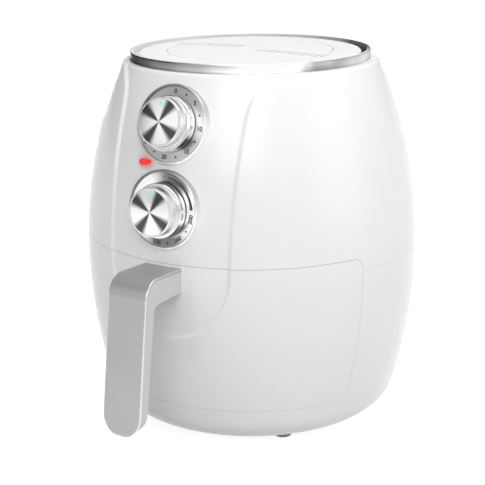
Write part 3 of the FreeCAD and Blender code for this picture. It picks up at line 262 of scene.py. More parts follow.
class Shader(Nodes):
    """A material's surface, and textures that vary it."""

    def __init__(self, name, colour, roughness, metallic=0.0, **sockets):
        self.material = bpy.data.materials.new(name)
        self.material.use_nodes = True
        super().__init__(self.material.node_tree)
        self.surface = self.tree.nodes["Principled BSDF"]
        self.place = self.add("ShaderNodeTexCoord").outputs["Object"]
        self.colour = colour
        self.roughness = roughness
        if colour:
            self.set("Base Color", (*colour, 1))
        self.set("Roughness", roughness)
        self.set("Metallic", metallic)
        for socket, value in sockets.items():
            self.set(socket.replace("_", " "), value)

    def set(self, socket, value):
        self.join(self.surface.inputs[socket], value)

    def noise(self, scale, detail, stretch=None):
        place = self.place
        if stretch:
            place = self.add("ShaderNodeMapping", {"Vector": place, "Scale": stretch}).outputs["Vector"]
        grain = {"Vector": place, "Scale": scale, "Detail": detail}
        return self.add("ShaderNodeTexNoise", grain).outputs["Fac"]

    def gloss(self, source, least, most):
        """Let a texture move the roughness between two shares of itself."""
        limits = {"Value": source, "To Min": self.roughness * least, "To Max": self.roughness * most}
        self.set("Roughness", self.add("ShaderNodeMapRange", limits).outputs["Result"])

    def tint(self, source, first, second, start=0.3, end=0.7):
        """Let a texture move the base colour between two colours."""
        ramp = self.add("ShaderNodeValToRGB", {"Fac": source})
        for element, position, colour in zip(ramp.color_ramp.elements, (start, end), (first, second)):
            element.position = position
            element.color = (*colour, 1)
        self.set("Base Color", ramp.outputs["Color"])

    def shade(self, source, share):
        """Let a texture darken the base colour down to a share of itself."""
        self.tint(source, [part * share for part in self.colour], self.colour)

    def bump(self, source, height):
        node = self.add("ShaderNodeBump", {"Height": source, "Distance": height * MM})
        self.set("Normal", node.outputs["Normal"])

    def across_axis(self):
        """X and Y in the piece's own space, where Z is the axis that it is turned about."""
        split = self.add("ShaderNodeSeparateXYZ", {"Vector": self.place})
        return split.outputs["X"], split.outputs["Y"]

    def rings(self, scale):
        """Fine turning marks: noise that changes only with the distance from the axis."""
        x, y = self.across_axis()
        flat = self.add("ShaderNodeCombineXYZ", {"X": x, "Y": y}).outputs["Vector"]
        radius = self.add("ShaderNodeVectorMath", {0: flat}, operation="LENGTH").outputs["Value"]
        grain = {"W": radius, "Scale": scale, "Detail": 3}
        return self.add("ShaderNodeTexNoise", grain, noise_dimensions="1D").outputs["Fac"]

    def paint_reflection_round(self, stops):
        """Painted reflection and shade: grey levels of base colour that follow the turn about the axis, as
        degrees clockwise from Y, and level.
        """
        x, y = self.across_axis()
        angle = self.add("ShaderNodeMath", {0: x, 1: y}, operation="ARCTAN2").outputs["Value"]
        limits = {"Value": angle, "From Min": -math.pi, "From Max": math.pi}
        share = self.add("ShaderNodeMapRange", limits).outputs["Result"]
        ramp = self.add("ShaderNodeValToRGB", {"Fac": share})
        ramp.color_ramp.interpolation = "EASE"
        elements = ramp.color_ramp.elements
        placed = sorted((((degrees + 180) % 360) / 360, level) for degrees, level in stops)
        (first, first_level), (last, last_level) = placed[0], placed[-1]
        seam = last_level + (first_level - last_level) * (1 - last) / (first + 1 - last)
        for element in elements:
            element.color = (seam, seam, seam, 1)
        for position, level in placed:
            elements.new(position).color = (level, level, level, 1)
        self.set("Base Color", ramp.outputs["Color"])

    def turned(self, marks):
        """Finish the surface as on a lathe, and return its marks."""
        lines = self.rings(marks)
        self.gloss(lines, 0.85, 1.2)
        self.bump(lines, 0.004)
        tangent = self.add("ShaderNodeTangent", direction_type="RADIAL", axis="Z")
        self.set("Tangent", tangent.outputs["Tangent"])
        return lines


# Materials


def moulded_plastic(name, colour, roughness, peel=0.004):
    """Moulded plastic with a faint orange-peel surface and slightly uneven gloss."""
    shader = Shader(name, colour, roughness)
    shader.shade(shader.noise(14, 2), 0.985)
    shader.gloss(shader.noise(60, 3), 0.85, 1.15)
    shader.bump(shader.noise(420, 2), peel)
    return shader.material


def grained_plastic(name, colour, roughness):
    """Matt plastic with a spark-eroded grain."""
    shader = Shader(name, colour, roughness)
    grain = shader.noise(1400, 3)
    shader.shade(grain, 0.9)
    shader.gloss(grain, 0.9, 1.1)
    shader.bump(grain, 0.03)
    return shader.material


def sheet_metal(name, colour, roughness, grain=(40, 40, 900), metallic=1.0):
    """Rolled sheet with fine lines one way and faint clouding."""
    shader = Shader(name, colour, roughness, metallic)
    lines = shader.noise(1, 3, grain)
    shader.shade(shader.noise(30, 4), 0.93)
    shader.gloss(lines, 0.8, 1.25)
    shader.bump(lines, 0.006)
    return shader.material


TURNING_MARKS = 2600


def turned_metal(name, colour, roughness, anisotropy):
    """Metal finished on a lathe, with fine marks round the piece's own axis."""
    shader = Shader(name, colour, roughness, 1.0, Anisotropic=anisotropy)
    shader.shade(shader.turned(TURNING_MARKS), 0.93)
    return shader.material


def painted_reflection_metal(name, stops, roughness, anisotropy, marks=TURNING_MARKS, metallic=1.0, edge=1.0):
    """Turned metal with painted reflections: wedges of light and shade painted into its base colour round its
    axis; edge is the level at a glancing view.
    """
    shader = Shader(name, None, roughness, metallic, Anisotropic=anisotropy)
    shader.set("Specular Tint", (edge, edge, edge, 1))
    shader.turned(marks)
    shader.paint_reflection_round(stops)
    return shader.material


def coated_metal(name, colour, roughness):
    """Non-stick coating: dark, finely speckled."""
    shader = Shader(name, colour, roughness)
    speck = shader.noise(900, 5)
    shader.tint(speck, colour, [part * 2.2 for part in colour], 0.55, 0.75)
    shader.gloss(speck, 0.85, 1.15)
    shader.bump(speck, 0.012)
    return shader.material


def clouded_colour(name, first, second, roughness, scale, **sockets):
    """Paint, ink or tinted glass that wanders between two near colours."""
    shader = Shader(name, None, roughness, **sockets)
    shader.tint(shader.noise(scale, 2), first, second)
    return shader.material


def painted_reflection_fans(middles, light, dark, core, fade):
    """Stops for painted reflections: dark wedges of painted shade on a bright spun disc; core and fade are
    degrees from a wedge's middle.
    """
    stops = []
    for middle in middles:
        for offset, level in ((-fade, light), (-core, dark), (core, dark), (fade, light)):
            stops.append((middle + offset, level))
    return stops


# Painted reflection: four dark wedges on the bright knob faces.
FACE_PAINTED_REFLECTION = painted_reflection_fans((33, 123, 213, 303), 0.95, 0.08, 7, 28)
# Painted reflection: two dark patches on the knob skirts.
SKIRT_PAINTED_REFLECTION = painted_reflection_fans((-8, 132), 0.85, 0.05, 9, 27)
# Painted reflection: dark wedges near the top and bottom of the chrome temperature dial.
CHROME_DIAL_PAINTED_REFLECTION = painted_reflection_fans((25, 175), 0.95, 0.2, 14, 55)
# Painted sheen and shade: the satin timer dial is lighter towards its right and darker at the top and left.
SATIN_DIAL_PAINTED_SHEEN = ((0, 0.42), (45, 0.5), (100, 0.72), (150, 0.6), (200, 0.5), (270, 0.45), (320, 0.45))
# Painted highlight and shade: dial rims are dark at the top left and bright at the lower right.
RIM_PAINTED_LIGHT_AND_SHADE = ((-50, 0.16), (0, 0.25), (50, 0.6), (100, 0.95), (165, 0.95), (200, 0.5), (270, 0.3))
# Painted reflection: dark and bright bands round the top ring.
# Turns on the ring are measured from the front towards the left
RING_PAINTED_REFLECTION = (
    (60, 0.02), (40, 0.04), (27, 0.11), (14, 0.24), (-5, 0.44), (-18, 0.75), (-28, 1.0),
    (-50, 1.0), (-56, 0.45), (-60, 0.28), (-70, 0.36), (-86, 0.7), (-98, 1.0), (-125, 1.0),
    (-135, 0.4), (-150, 0.1), (-175, 0.4), (160, 0.7), (130, 0.4), (95, 0.12),
)
# Painted reflection: light and dark bands round the ring's lip.
LIP_PAINTED_REFLECTION = (
    (0, 0.85), (60, 0.8), (90, 0.7), (130, 0.58), (175, 0.52), (-158, 0.4), (-144, 0.12),
    (-122, 0.05), (-110, 0.4), (-100, 0.9),
)

WHITE = (0.86, 0.86, 0.857)
WHITE_ROUGHNESS = 0.22
# Painted glow: red painted into the white plastic round the indicator lens.
PAINTED_GLOW_MARGIN = 5
PAINTED_GLOW_THROUGH = 1000
PAINTED_GLOW_CORE = 0.3
PAINTED_GLOW_STRENGTH = 0.6
PAINTED_GLOW_RED = (0.86, 0.10, 0.08, 1)
LENS_LIGHT = (1.0, 0.02, 0.015, 1)


def panel_with_painted_glow():
    """The white of the housing, with a painted red glow round the lens: red mixed into the plastic's base
    colour, fading away from the lens.
    """
    material = moulded_plastic("panel_white", WHITE, WHITE_ROUGHNESS)
    graph = Nodes(material.node_tree)
    middle, half = middle_and_half("indicator_lens")
    reach = Vector((half.x + PAINTED_GLOW_MARGIN, PAINTED_GLOW_THROUGH, half.z + PAINTED_GLOW_MARGIN))
    place = graph.add("ShaderNodeTexCoord").outputs["Object"]
    oval = {"Vector": place, "Location": middle * MM, "Scale": reach * MM}
    shrunk = graph.add("ShaderNodeMapping", oval, vector_type="TEXTURE").outputs["Vector"]
    distance = graph.add("ShaderNodeVectorMath", {0: shrunk}, operation="LENGTH").outputs["Value"]
    limits = {"Value": distance, "From Min": PAINTED_GLOW_CORE, "To Min": PAINTED_GLOW_STRENGTH, "To Max": 0}
    fall = graph.add("ShaderNodeMapRange", limits, interpolation_type="SMOOTHSTEP").outputs["Result"]
    colour = graph.tree.nodes["Principled BSDF"].inputs["Base Color"]
    blend = {"Factor": fall, "A": colour.links[0].from_socket, "B": PAINTED_GLOW_RED}
    graph.join(colour, graph.add("ShaderNodeMix", blend, data_type="RGBA").outputs["Result"])
    return material


white = moulded_plastic("white_gloss", WHITE, WHITE_ROUGHNESS)
white_matt = moulded_plastic("white_satin", (0.84, 0.84, 0.837), 0.38, 0.01)
cover_white = moulded_plastic("cover_white", WHITE, 0.6, 0.01)
panel_white = panel_with_painted_glow()
handle_side = moulded_plastic("handle_side", (0.62, 0.62, 0.62), 0.3)
lamp_glass = moulded_plastic("lamp_glass", (0.75, 0.45, 0.40), 0.1)
# Ring, dial and knob metals below carry painted reflections round their axes; knob_chrome has none.
ring_steel = painted_reflection_metal("ring_steel", RING_PAINTED_REFLECTION, 0.25, 0.5, edge=0.5)
ring_lip = painted_reflection_metal("ring_lip", LIP_PAINTED_REFLECTION, 0.35, 0.3, metallic=0.2)
dial_satin = painted_reflection_metal("dial_satin", SATIN_DIAL_PAINTED_SHEEN, 0.38, 0.3)
dial_chrome = painted_reflection_metal("dial_chrome", CHROME_DIAL_PAINTED_REFLECTION, 0.25, 0.5)
dial_rim = painted_reflection_metal("dial_rim", RIM_PAINTED_LIGHT_AND_SHADE, 0.2, 0.2)
knob_chrome = turned_metal("knob_chrome", (0.80, 0.80, 0.81), 0.24, 0.3)
knob_skirt = painted_reflection_metal("knob_skirt", SKIRT_PAINTED_REFLECTION, 0.24, 0.3)
knob_face = painted_reflection_metal("knob_face", FACE_PAINTED_REFLECTION, 0.26, 0.4, marks=5200)
handle_satin = sheet_metal("handle_satin", (0.48, 0.48, 0.48), 0.4, (300, 12, 12), 0.7)
handle_edge = sheet_metal("handle_edge", (0.66, 0.66, 0.66), 0.22, (300, 12, 12))
steel = sheet_metal("bright_steel", (0.60, 0.60, 0.61), 0.28)
zinc = sheet_metal("zinc_sheet", (0.58, 0.59, 0.60), 0.36, (60, 60, 60))
chamber = sheet_metal("chamber_sheet", (0.64, 0.64, 0.65), 0.3, (80, 80, 700))
element_steel = sheet_metal("element_steel", (0.20, 0.19, 0.18), 0.45, (200, 200, 200))
dark_plastic = grained_plastic("dark_plastic", (0.05, 0.05, 0.052), 0.5)
pale_plastic = grained_plastic("pale_plastic", (0.70, 0.68, 0.62), 0.5)
ceramic = grained_plastic("ceramic", (0.80, 0.78, 0.74), 0.6)
rubber = grained_plastic("rubber", (0.12, 0.12, 0.12), 0.75)
foot_rubber = grained_plastic("foot_rubber", (0.36, 0.36, 0.36), 0.7)
non_stick = coated_metal("non_stick", (0.035, 0.035, 0.037), 0.42)
ink = clouded_colour("print_ink", (0.03, 0.03, 0.03), (0.06, 0.06, 0.06), 0.5, 3000)
pointer_mark = clouded_colour("pointer_paint", (0.38, 0.80, 0.86), (0.46, 0.86, 0.90), 0.35, 2000)
lens_red = clouded_colour("lit_lens", (0.70, 0.02, 0.015), (0.80, 0.03, 0.02), 0.3, 900,
                          Emission_Color=LENS_LIGHT, Emission_Strength=0.32)

# Meshes


def link_object(obj):
    bpy.context.scene.collection.objects.link(obj)
    return obj


def new_mesh(name, points, faces):
    """A mesh from points in millimetres."""
    mesh = bpy.data.meshes.new(name)
    mesh.from_pydata([Vector(point) * MM for point in points], [], faces)
    return mesh


def mesh_piece(name, points, faces, material, body, replaced=(), place=None):
    """A new piece, riding on a body."""
    mesh = new_mesh(name, points, faces)
    mesh.materials.append(material)
    obj = link_object(bpy.data.objects.new(name, mesh))
    if place is not None:
        obj.matrix_world = place
    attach(obj, body)
    if replaced:
        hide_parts(*replaced)
    return obj


def evaluated_mesh(obj):
    bpy.context.view_layer.update()
    graph = bpy.context.evaluated_depsgraph_get()
    return bpy.data.meshes.new_from_object(obj.evaluated_get(graph))


def settle(obj):
    """Turn a piece's modifiers into its mesh."""
    mesh = evaluated_mesh(obj)
    obj.modifiers.clear()
    obj.data = mesh


def round_edges(obj, width, segments=2, angle=EDGE_ANGLE):
    bevel = obj.modifiers.new("edges", "BEVEL")
    bevel.width = width * MM
    bevel.segments = segments
    bevel.limit_method = "ANGLE"
    bevel.angle_limit = math.radians(angle)
    bevel.harden_normals = False


def smooth_by_angle(obj):
    obj.data.polygons.foreach_set("use_smooth", [True] * len(obj.data.polygons))
    split = obj.modifiers.new("sharp", "EDGE_SPLIT")
    split.split_angle = math.radians(SMOOTH_ANGLE)
    split.use_edge_sharp = False


def even_normals(obj):
    """Keep broad faces flat in the light: sharp corners split, and large faces lead at rounded edges."""
    smooth_by_angle(obj)
    weighted = obj.modifiers.new("even", "WEIGHTED_NORMAL")
    weighted.mode = "FACE_AREA"
    weighted.weight = FLAT_FACE_WEIGHT


def face_outwards(mesh):
    """Join points that coincide and turn every face outwards."""
    work = bmesh.new()
    work.from_mesh(mesh)
    bmesh.ops.remove_doubles(work, verts=work.verts, dist=JOIN_DISTANCE)
    bmesh.ops.recalc_face_normals(work, faces=work.faces)
    work.to_mesh(mesh)
    work.free()


def block(outline, axis, near, far):
    """Points and faces of a block on an outline, between two places along an axis (0, 1 or 2)."""
    count = len(outline)
    points = []
    for place in (near, far):
        for pair in outline:
            point = list(pair)
            point.insert(axis, place)
            points.append(tuple(point))
    faces = [tuple(range(count)), tuple(range(2 * count - 1, count - 1, -1))]
    faces += [(i, i + count, (i + 1) % count + count, (i + 1) % count) for i in range(count)]
    return points, faces


def cutter(*blocks):
    """One object of all the blocks, to carve with."""
    points, faces = [], []
    for more_points, more_faces in blocks:
        faces += [tuple(len(points) + index for index in face) for face in more_faces]
        points += more_points
    mesh = new_mesh("cutter", points, faces)
    face_outwards(mesh)
    return link_object(bpy.data.objects.new("cutter", mesh))


def carve(obj, tool, operation="DIFFERENCE"):
    """Cut a tool out of a piece, or keep only what lies in it, and take the tool away."""
    boolean = obj.modifiers.new("cut", "BOOLEAN")
    boolean.operation = operation
    boolean.solver = "EXACT"
    boolean.object = tool
    settle(obj)
    bpy.data.objects.remove(tool)


def grid_faces(rows, columns, closed=False):
    """Faces between rows that have the same number of points; closed joins each row's ends."""
    faces = []
    for i in range(rows - 1):
        for j in range(columns if closed else columns - 1):
            here, after = i * columns + j, i * columns + (j + 1) % columns
            faces.append((here, after, after + columns, here + columns))
    return faces


def lathe(profile, closed):
    """Points and faces of a section turned about Z; closed joins its last point to its first."""
    count = len(profile)
    points = []
    for side in range(LATHE_SIDES):
        spin = 2 * math.pi * side / LATHE_SIDES
        points += [(r * math.cos(spin), r * math.sin(spin), z) for r, z in profile]
    faces = []
    for side in range(LATHE_SIDES):
        after = (side + 1) % LATHE_SIDES
        for i in range(count if closed else count - 1):
            j = (i + 1) % count
            faces.append((side * count + i, after * count + i, after * count + j, side * count + j))
    return points, faces


def rounded(corners, rounds):
    """A closed section of corners, each a radius and a height, with the first ones rounded."""
    outline = []
    count = len(corners)
    for i, corner in enumerate(corners):
        radius = rounds[i] if i < len(rounds) else 0
        if radius == 0:
            outline.append(corner)
            continue
        here = Vector(corner)
        before = (Vector(corners[i - 1]) - here).normalized()
        after = (Vector(corners[(i + 1) % count]) - here).normalized()
        for step in range(ROUND_STEPS + 1):
            t = step / ROUND_STEPS
            point = here + before * radius * (1 - t) ** 2 + after * radius * t**2
            outline.append((point.x, point.y))
    return outline


def spaced(start, end, step):
    """Even places from a start to an end, about a step apart."""
    count = max(1, round(abs(end - start) / step))
    return [start + (end - start) * i / count for i in range(count + 1)]


def stadium(half_width, low_centre, high_centre, steps):
    """An upright outline with round ends, in X and Z."""
    outline = []
    for centre, start in ((high_centre, 0), (low_centre, math.pi)):
        for i in range(steps + 1):
            turn = start + math.pi * i / steps
            outline.append((half_width * math.cos(turn), centre + half_width * math.sin(turn)))
    return outline


# The barrel's outline: rows of radius, height, and how far the surface faces out and up

lower_centre = BELLY_RADIUS - LOWER_ARC
upper_centre = BELLY_RADIUS - UPPER_ARC
base_centre_height = BASE_HEIGHT + BASE_ROUND
base_swing = math.asin((BELLY_HEIGHT - base_centre_height) / (LOWER_ARC - BASE_ROUND))
base_flat = lower_centre + (LOWER_ARC - BASE_ROUND) * math.cos(base_swing)
shoulder_centre_height = SHOULDER_HEIGHT - SHOULDER_ROUND
shoulder_swing = math.asin((shoulder_centre_height - BELLY_HEIGHT) / (UPPER_ARC - SHOULDER_ROUND))
shoulder_flat = upper_centre + (UPPER_ARC - SHOULDER_ROUND) * math.cos(shoulder_swing)


def on_barrel(height):
    """The row where the barrel's side has that height."""
    centre, arc = (upper_centre, UPPER_ARC) if height > BELLY_HEIGHT else (lower_centre, LOWER_ARC)
    swing = math.asin((height - BELLY_HEIGHT) / arc)
    return centre + arc * math.cos(swing), height, math.cos(swing), math.sin(swing)


def side_rows(start, end):
    return [on_barrel(height) for height in spaced(start, end, ROW_STEP)]


def round_rows(centre, height, radius, start, end, count):
    rows = []
    for i in range(count + 1):
        swing = start + (end - start) * i / count
        way = math.cos(swing), math.sin(swing)
        rows.append((centre + radius * way[0], height + radius * way[1], *way))
    return rows


def ease(value, start, end):
    """0 before the start, 1 after the end and smooth between."""
    share = min(max((value - start) / (end - start), 0), 1)
    return share * share * (3 - 2 * share)


def recess(x, z):
    """How deep the tongue is sunk at a place on the front."""
    if z > TONGUE_END:
        rise = (z - TONGUE_END) / (RING_TOP - TONGUE_END)
        mouth = max(z - MOUTH_START, 0) / (MOUTH_END - MOUTH_START)
        distance = abs(x) - TONGUE_HALF_WIDTH - TONGUE_FLARE * rise - MOUTH_SPREAD * mouth**3
    else:
        distance = math.hypot(x, z - TONGUE_END) - TONGUE_HALF_WIDTH
    slope = RECESS_SLOPE + SOFT_WIDTH * ease(z, SOFT_START, SOFT_END) ** 2
    return RECESS_DEPTH * (1 - ease(distance, 0, slope))


def skin_point(row, angle):
    """A point of the barrel's skin; the angle is measured from the front."""
    radius, height, out, up = row
    x, y = radius * math.sin(angle), -radius * math.cos(angle)
    depth = recess(x, height) if y < 0 else 0
    shrink = (radius - depth * out) / radius
    return x * shrink, y * shrink + AXIS_Y, height - depth * up * out


def rear_edge(height, gap):
    """How far behind the front the drawer's edge runs at a height, with its rounded corners."""
    rear = DRAWER_REAR - gap
    for centre, radius, sign in (
        (DRAWER_TOP - DRAWER_TOP_ROUND, DRAWER_TOP_ROUND + gap, 1),
        (DRAWER_BOTTOM + DRAWER_BOTTOM_ROUND, DRAWER_BOTTOM_ROUND + gap, -1),
    ):
        past = min((height - centre) * sign, radius)
        if past > 0:
            rear += radius - math.sqrt(radius**2 - past**2)
    return rear


def edge_angle(row, gap):
    radius, height, _, _ = row
    return math.acos(rear_edge(height, gap) / radius)


def front_angles(limit):
    """Angles across the front, close together where the tongue's edges run."""
    fine = min(FINE_ANGLE, limit)
    half = spaced(0, fine, FINE_TURN) + spaced(fine, limit, COARSE_TURN)[1:]
    return [-angle for angle in reversed(half[1:])] + half


def housing_skin(rows, is_open, corner_row):
    """A skin that runs right round, and only round the back where the drawer's gap is."""
    corner = edge_angle(corner_row, SHUT_GAP)
    front = front_angles(corner)[1:-1]
    back = spaced(corner, 2 * math.pi - corner, COARSE_TURN)
    columns = len(back) + len(front)
    index = {}
    points = []
    for i, row in enumerate(rows):
        start = edge_angle(row, SHUT_GAP) if is_open(row) else corner
        span = 2 * math.pi - 2 * start
        for j in range(columns):
            if j < len(back):
                share = (back[j] - corner) / (2 * math.pi - 2 * corner)
                angle = start + span * share
            elif is_open(row) and row is not corner_row:
                continue
            else:
                angle = front[j - len(back)]
            index[i, j] = len(points)
            points.append(skin_point(row, angle))
    faces = []
    for i in range(len(rows) - 1):
        for j in range(columns):
            corners = [(i, j), (i, (j + 1) % columns), (i + 1, (j + 1) % columns), (i + 1, j)]
            if all(key in index for key in corners):
                faces.append(tuple(index[key] for key in corners))
    return points, faces


def white_shell(name, skin, body, node, windows=(), material=white, edge=SHELL_EDGE):
    """A moulded piece: a skin with its wall inwards, windows in its front (-1) or back (1), round edges."""
    piece = mesh_piece(name, *skin, material, body, [node])
    solid = piece.modifiers.new("wall", "SOLIDIFY")
    solid.thickness = SHELL_WALL * MM
    solid.offset = -1
    round_edges(piece, edge)
    settle(piece)
    for side, outline in windows:
        near, far = (AXIS_Y + side * reach for reach in WINDOW_REACH)
        carve(piece, cutter(block(outline, 1, near, far)))
    even_normals(piece)


def make_upper_housing():
    corner_start = DRAWER_TOP - DRAWER_TOP_ROUND
    radius = DRAWER_TOP_ROUND + SHUT_GAP
    turns = spaced(0, math.pi / 2, UPPER_CORNER_TURN)
    rows = side_rows(SEAM, corner_start)
    rows += [on_barrel(corner_start + radius * math.sin(turn)) for turn in turns[1:]]
    corner_row = rows[-1]
    top = BELLY_HEIGHT + UPPER_ARC * math.sin(shoulder_swing)
    rows += side_rows(DRAWER_TOP + SHUT_GAP, top)[1:]
    rows += round_rows(shoulder_flat, shoulder_centre_height, SHOULDER_ROUND,
                       shoulder_swing, math.pi / 2, SHOULDER_ROUND_STEPS)[1:]
    rows += [(r, SHOULDER_HEIGHT, 0, 1) for r in spaced(shoulder_flat, RING_OPENING, SHOULDER_STEP)[1:]]
    skin = housing_skin(rows, lambda row: row[1] <= corner_row[1], corner_row)
    window = stadium(PLATE_HALF_WIDTH + PLATE_GAP, PLATE_LOW_END, PLATE_HIGH_END, WINDOW_STEPS)
    middle, half = middle_and_half("rear_grille")
    half += Vector((PLATE_GAP, 0, PLATE_GAP))
    left, right = middle.x - half.x, middle.x + half.x
    bottom, top = middle.z - half.z, middle.z + half.z
    rear_window = [(left, bottom), (right, bottom), (right, top), (left, top)]
    white_shell("upper_shell", skin, "housing", "upper_housing", ((-1, window), (1, rear_window)))


def make_lower_housing():
    corner_end = DRAWER_BOTTOM + DRAWER_BOTTOM_ROUND
    radius = DRAWER_BOTTOM_ROUND + SHUT_GAP
    turns = spaced(0, math.pi / 2, CORNER_TURN)
    rows = [(r, BASE_HEIGHT, 0, -1) for r in spaced(BASE_OPENING, base_flat, BASE_STEP)]
    rows += round_rows(base_flat, base_centre_height, BASE_ROUND,
                       -math.pi / 2, -base_swing, BASE_ROUND_STEPS)[1:]
    rows += side_rows(rows[-1][1], DRAWER_BOTTOM - SHUT_GAP)[1:]
    corner_row = rows[-1]
    rows += [on_barrel(corner_end - radius * math.cos(turn)) for turn in turns[1:]]
    rows += side_rows(corner_end, SEAM - SEAM_GAP)[1:]
    skin = housing_skin(rows, lambda row: row[1] >= corner_row[1], corner_row)
    white_shell("lower_shell", skin, "housing", "lower_housing")


def make_drawer_front():
    bottom_end = DRAWER_BOTTOM + DRAWER_BOTTOM_ROUND
    top_start = DRAWER_TOP - DRAWER_TOP_ROUND
    turns = spaced(0, math.pi / 2, CORNER_TURN)
    rows = [on_barrel(bottom_end - DRAWER_BOTTOM_ROUND * math.cos(turn)) for turn in turns]
    rows += side_rows(bottom_end, top_start)[1:]
    rows += [on_barrel(top_start + DRAWER_TOP_ROUND * math.sin(turn)) for turn in turns[1:]]
    widest = max(edge_angle(row, 0) for row in rows)
    shares = [angle / widest for angle in front_angles(widest)]
    points = []
    for row in rows:
        limit = edge_angle(row, 0)
        points += [skin_point(row, share * limit) for share in shares]
    skin = points, grid_faces(len(rows), len(shares))
    white_shell("drawer_shell", skin, "drawer", "drawer_front")


def make_control_plate():
    """A stadium that lies flush in the recess."""
    low_turns = spaced(PLATE_TURN, math.pi / 2, PLATE_TURN)
    high_turns = spaced(0, math.pi / 2 - PLATE_TURN, PLATE_TURN)[1:]
    heights = [PLATE_LOW_END - PLATE_HALF_WIDTH * math.cos(turn) for turn in low_turns]
    heights += spaced(PLATE_LOW_END, PLATE_HIGH_END, PLATE_STEP)[1:]
    heights += [PLATE_HIGH_END + PLATE_HALF_WIDTH * math.sin(turn) for turn in high_turns]
    shares = spaced(-1, 1, PLATE_SHARE)
    points = []
    for height in heights:
        past = max(PLATE_LOW_END - height, height - PLATE_HIGH_END, 0)
        half = math.sqrt(PLATE_HALF_WIDTH**2 - past**2)
        _, _, out, up = on_barrel(height)
        row = on_barrel(height + RECESS_DEPTH * up * out)
        reach = row[0] - RECESS_DEPTH * row[2]
        points += [skin_point(row, math.asin(half * share / reach)) for share in shares]
    skin = points, grid_faces(len(heights), len(shares))
    white_shell("control_panel", skin, "housing", "control_plate", (), panel_white, PLATE_EDGE)


# Turned pieces: top ring, cover, dials and knobs, each in its own frame


def turned_piece(name, corners, rounds, material, body, replaced, place):
    """A section of rounded corners turned about the piece's Z axis; corners on the axis close it."""
    on_axis = min(corner[0] for corner in corners) == 0
    points, faces = lathe(rounded(corners, rounds), closed=not on_axis)
    piece = mesh_piece(name, points, faces, material, body, replaced, place)
    face_outwards(piece.data)
    smooth_by_angle(piece)
    return piece


def make_top_ring():
    """A band with a broad lip, turned so that its own Y points to the front."""
    place = Matrix.Translation((0, AXIS_Y * MM, 0)) @ Matrix.Rotation(math.pi, 4, "Z")
    inner = RING_RADIUS - RING_WALL
    shelf = SHOULDER_HEIGHT + RING_FLANGE
    corners = [
        (RING_OPENING, SHOULDER_HEIGHT), (RING_RADIUS, SHOULDER_HEIGHT), (RING_RADIUS, RING_TOP),
        (inner, RING_TOP), (inner, shelf), (RING_OPENING, shelf),
    ]
    piece = turned_piece("rim_band", corners, RING_ROUNDS, ring_steel, "housing", ["top_ring"], place)
    # Faces on the lip take the ring_lip material, with its painted reflection.
    piece.data.materials.append(ring_lip)
    lip_start = (RING_RADIUS - RING_LIP / 3) * MM
    for face in piece.data.polygons:
        face.material_index = int(face.center.to_2d().length < lip_start)


def make_top_cover():
    """A low dome with a line round it, and a row of vent slots on each side of its middle."""
    floor, crown = low("top_cover").z, high("top_cover").z
    line_floor = crown - COVER_LINE_DEPTH
    line_outer, line_inner = COVER_LINE + COVER_LINE_HALF_WIDTH, COVER_LINE - COVER_LINE_HALF_WIDTH
    corners = [
        (0, floor), (COVER_RADIUS, floor), (COVER_RADIUS, crown), (line_outer, crown),
        (line_outer, line_floor), (line_inner, line_floor), (line_inner, crown),
    ]
    for radius in spaced(COVER_LINE - DOME_INSET, 0, DOME_STEP):
        corners.append((radius, crown + DOME_RISE * (1 - (radius / COVER_LINE) ** 2)))
    place = Matrix.Translation((0, AXIS_Y * MM, 0))
    piece = turned_piece("cover_disc", corners, COVER_ROUNDS, cover_white, "housing", ["top_cover"], place)
    settle(piece)
    below, above = VENT_CUT
    slots = []
    for side in (-1, 1):
        near, far = (side * reach for reach in VENT_REACH)
        for number in range(VENT_COUNT):
            x = -side * (VENT_START + VENT_PITCH * number)
            left, right = x - VENT_WIDTH / 2, x + VENT_WIDTH / 2
            slot = [(left, near), (right, near), (right, far), (left, far)]
            slots.append(block(slot, 2, floor - below, crown + above))
    vents = cutter(*slots)
    vents.matrix_world = place
    carve(piece, vents)
    smooth_by_angle(piece)


def seat(joint):
    """A control's own frame: Z out of the panel along its axis, Y up the panel."""
    out = -Vector(joints[joint]["axis"])
    side = Vector((1, 0, 0))
    place = Matrix((side, out.cross(side), out)).transposed().to_4x4()
    place.translation = Vector(joints[joint]["pos_m"])
    return place


def make_dial(name, joint, material):
    replaced, place = [name + "_dial"], seat(joint)
    inner, back = DIAL_RADIUS - DIAL_RIM, DIAL_FACE - DIAL_SHEET
    rim = [
        (inner, DIAL_FOOT), (DIAL_RADIUS, DIAL_FOOT), (DIAL_RADIUS, DIAL_RIM_TOP),
        (inner, DIAL_RIM_TOP - DIAL_RIM_FALL),
    ]
    turned_piece(name + "_rim", rim, DIAL_RIM_ROUNDS, dial_rim, "housing", replaced, place)
    face = [(DIAL_HOLE, back), (inner, back), (inner, DIAL_FACE), (DIAL_HOLE, DIAL_FACE)]
    turned_piece(name + "_scale", face, DIAL_FACE_ROUNDS, material, "housing", replaced, place)


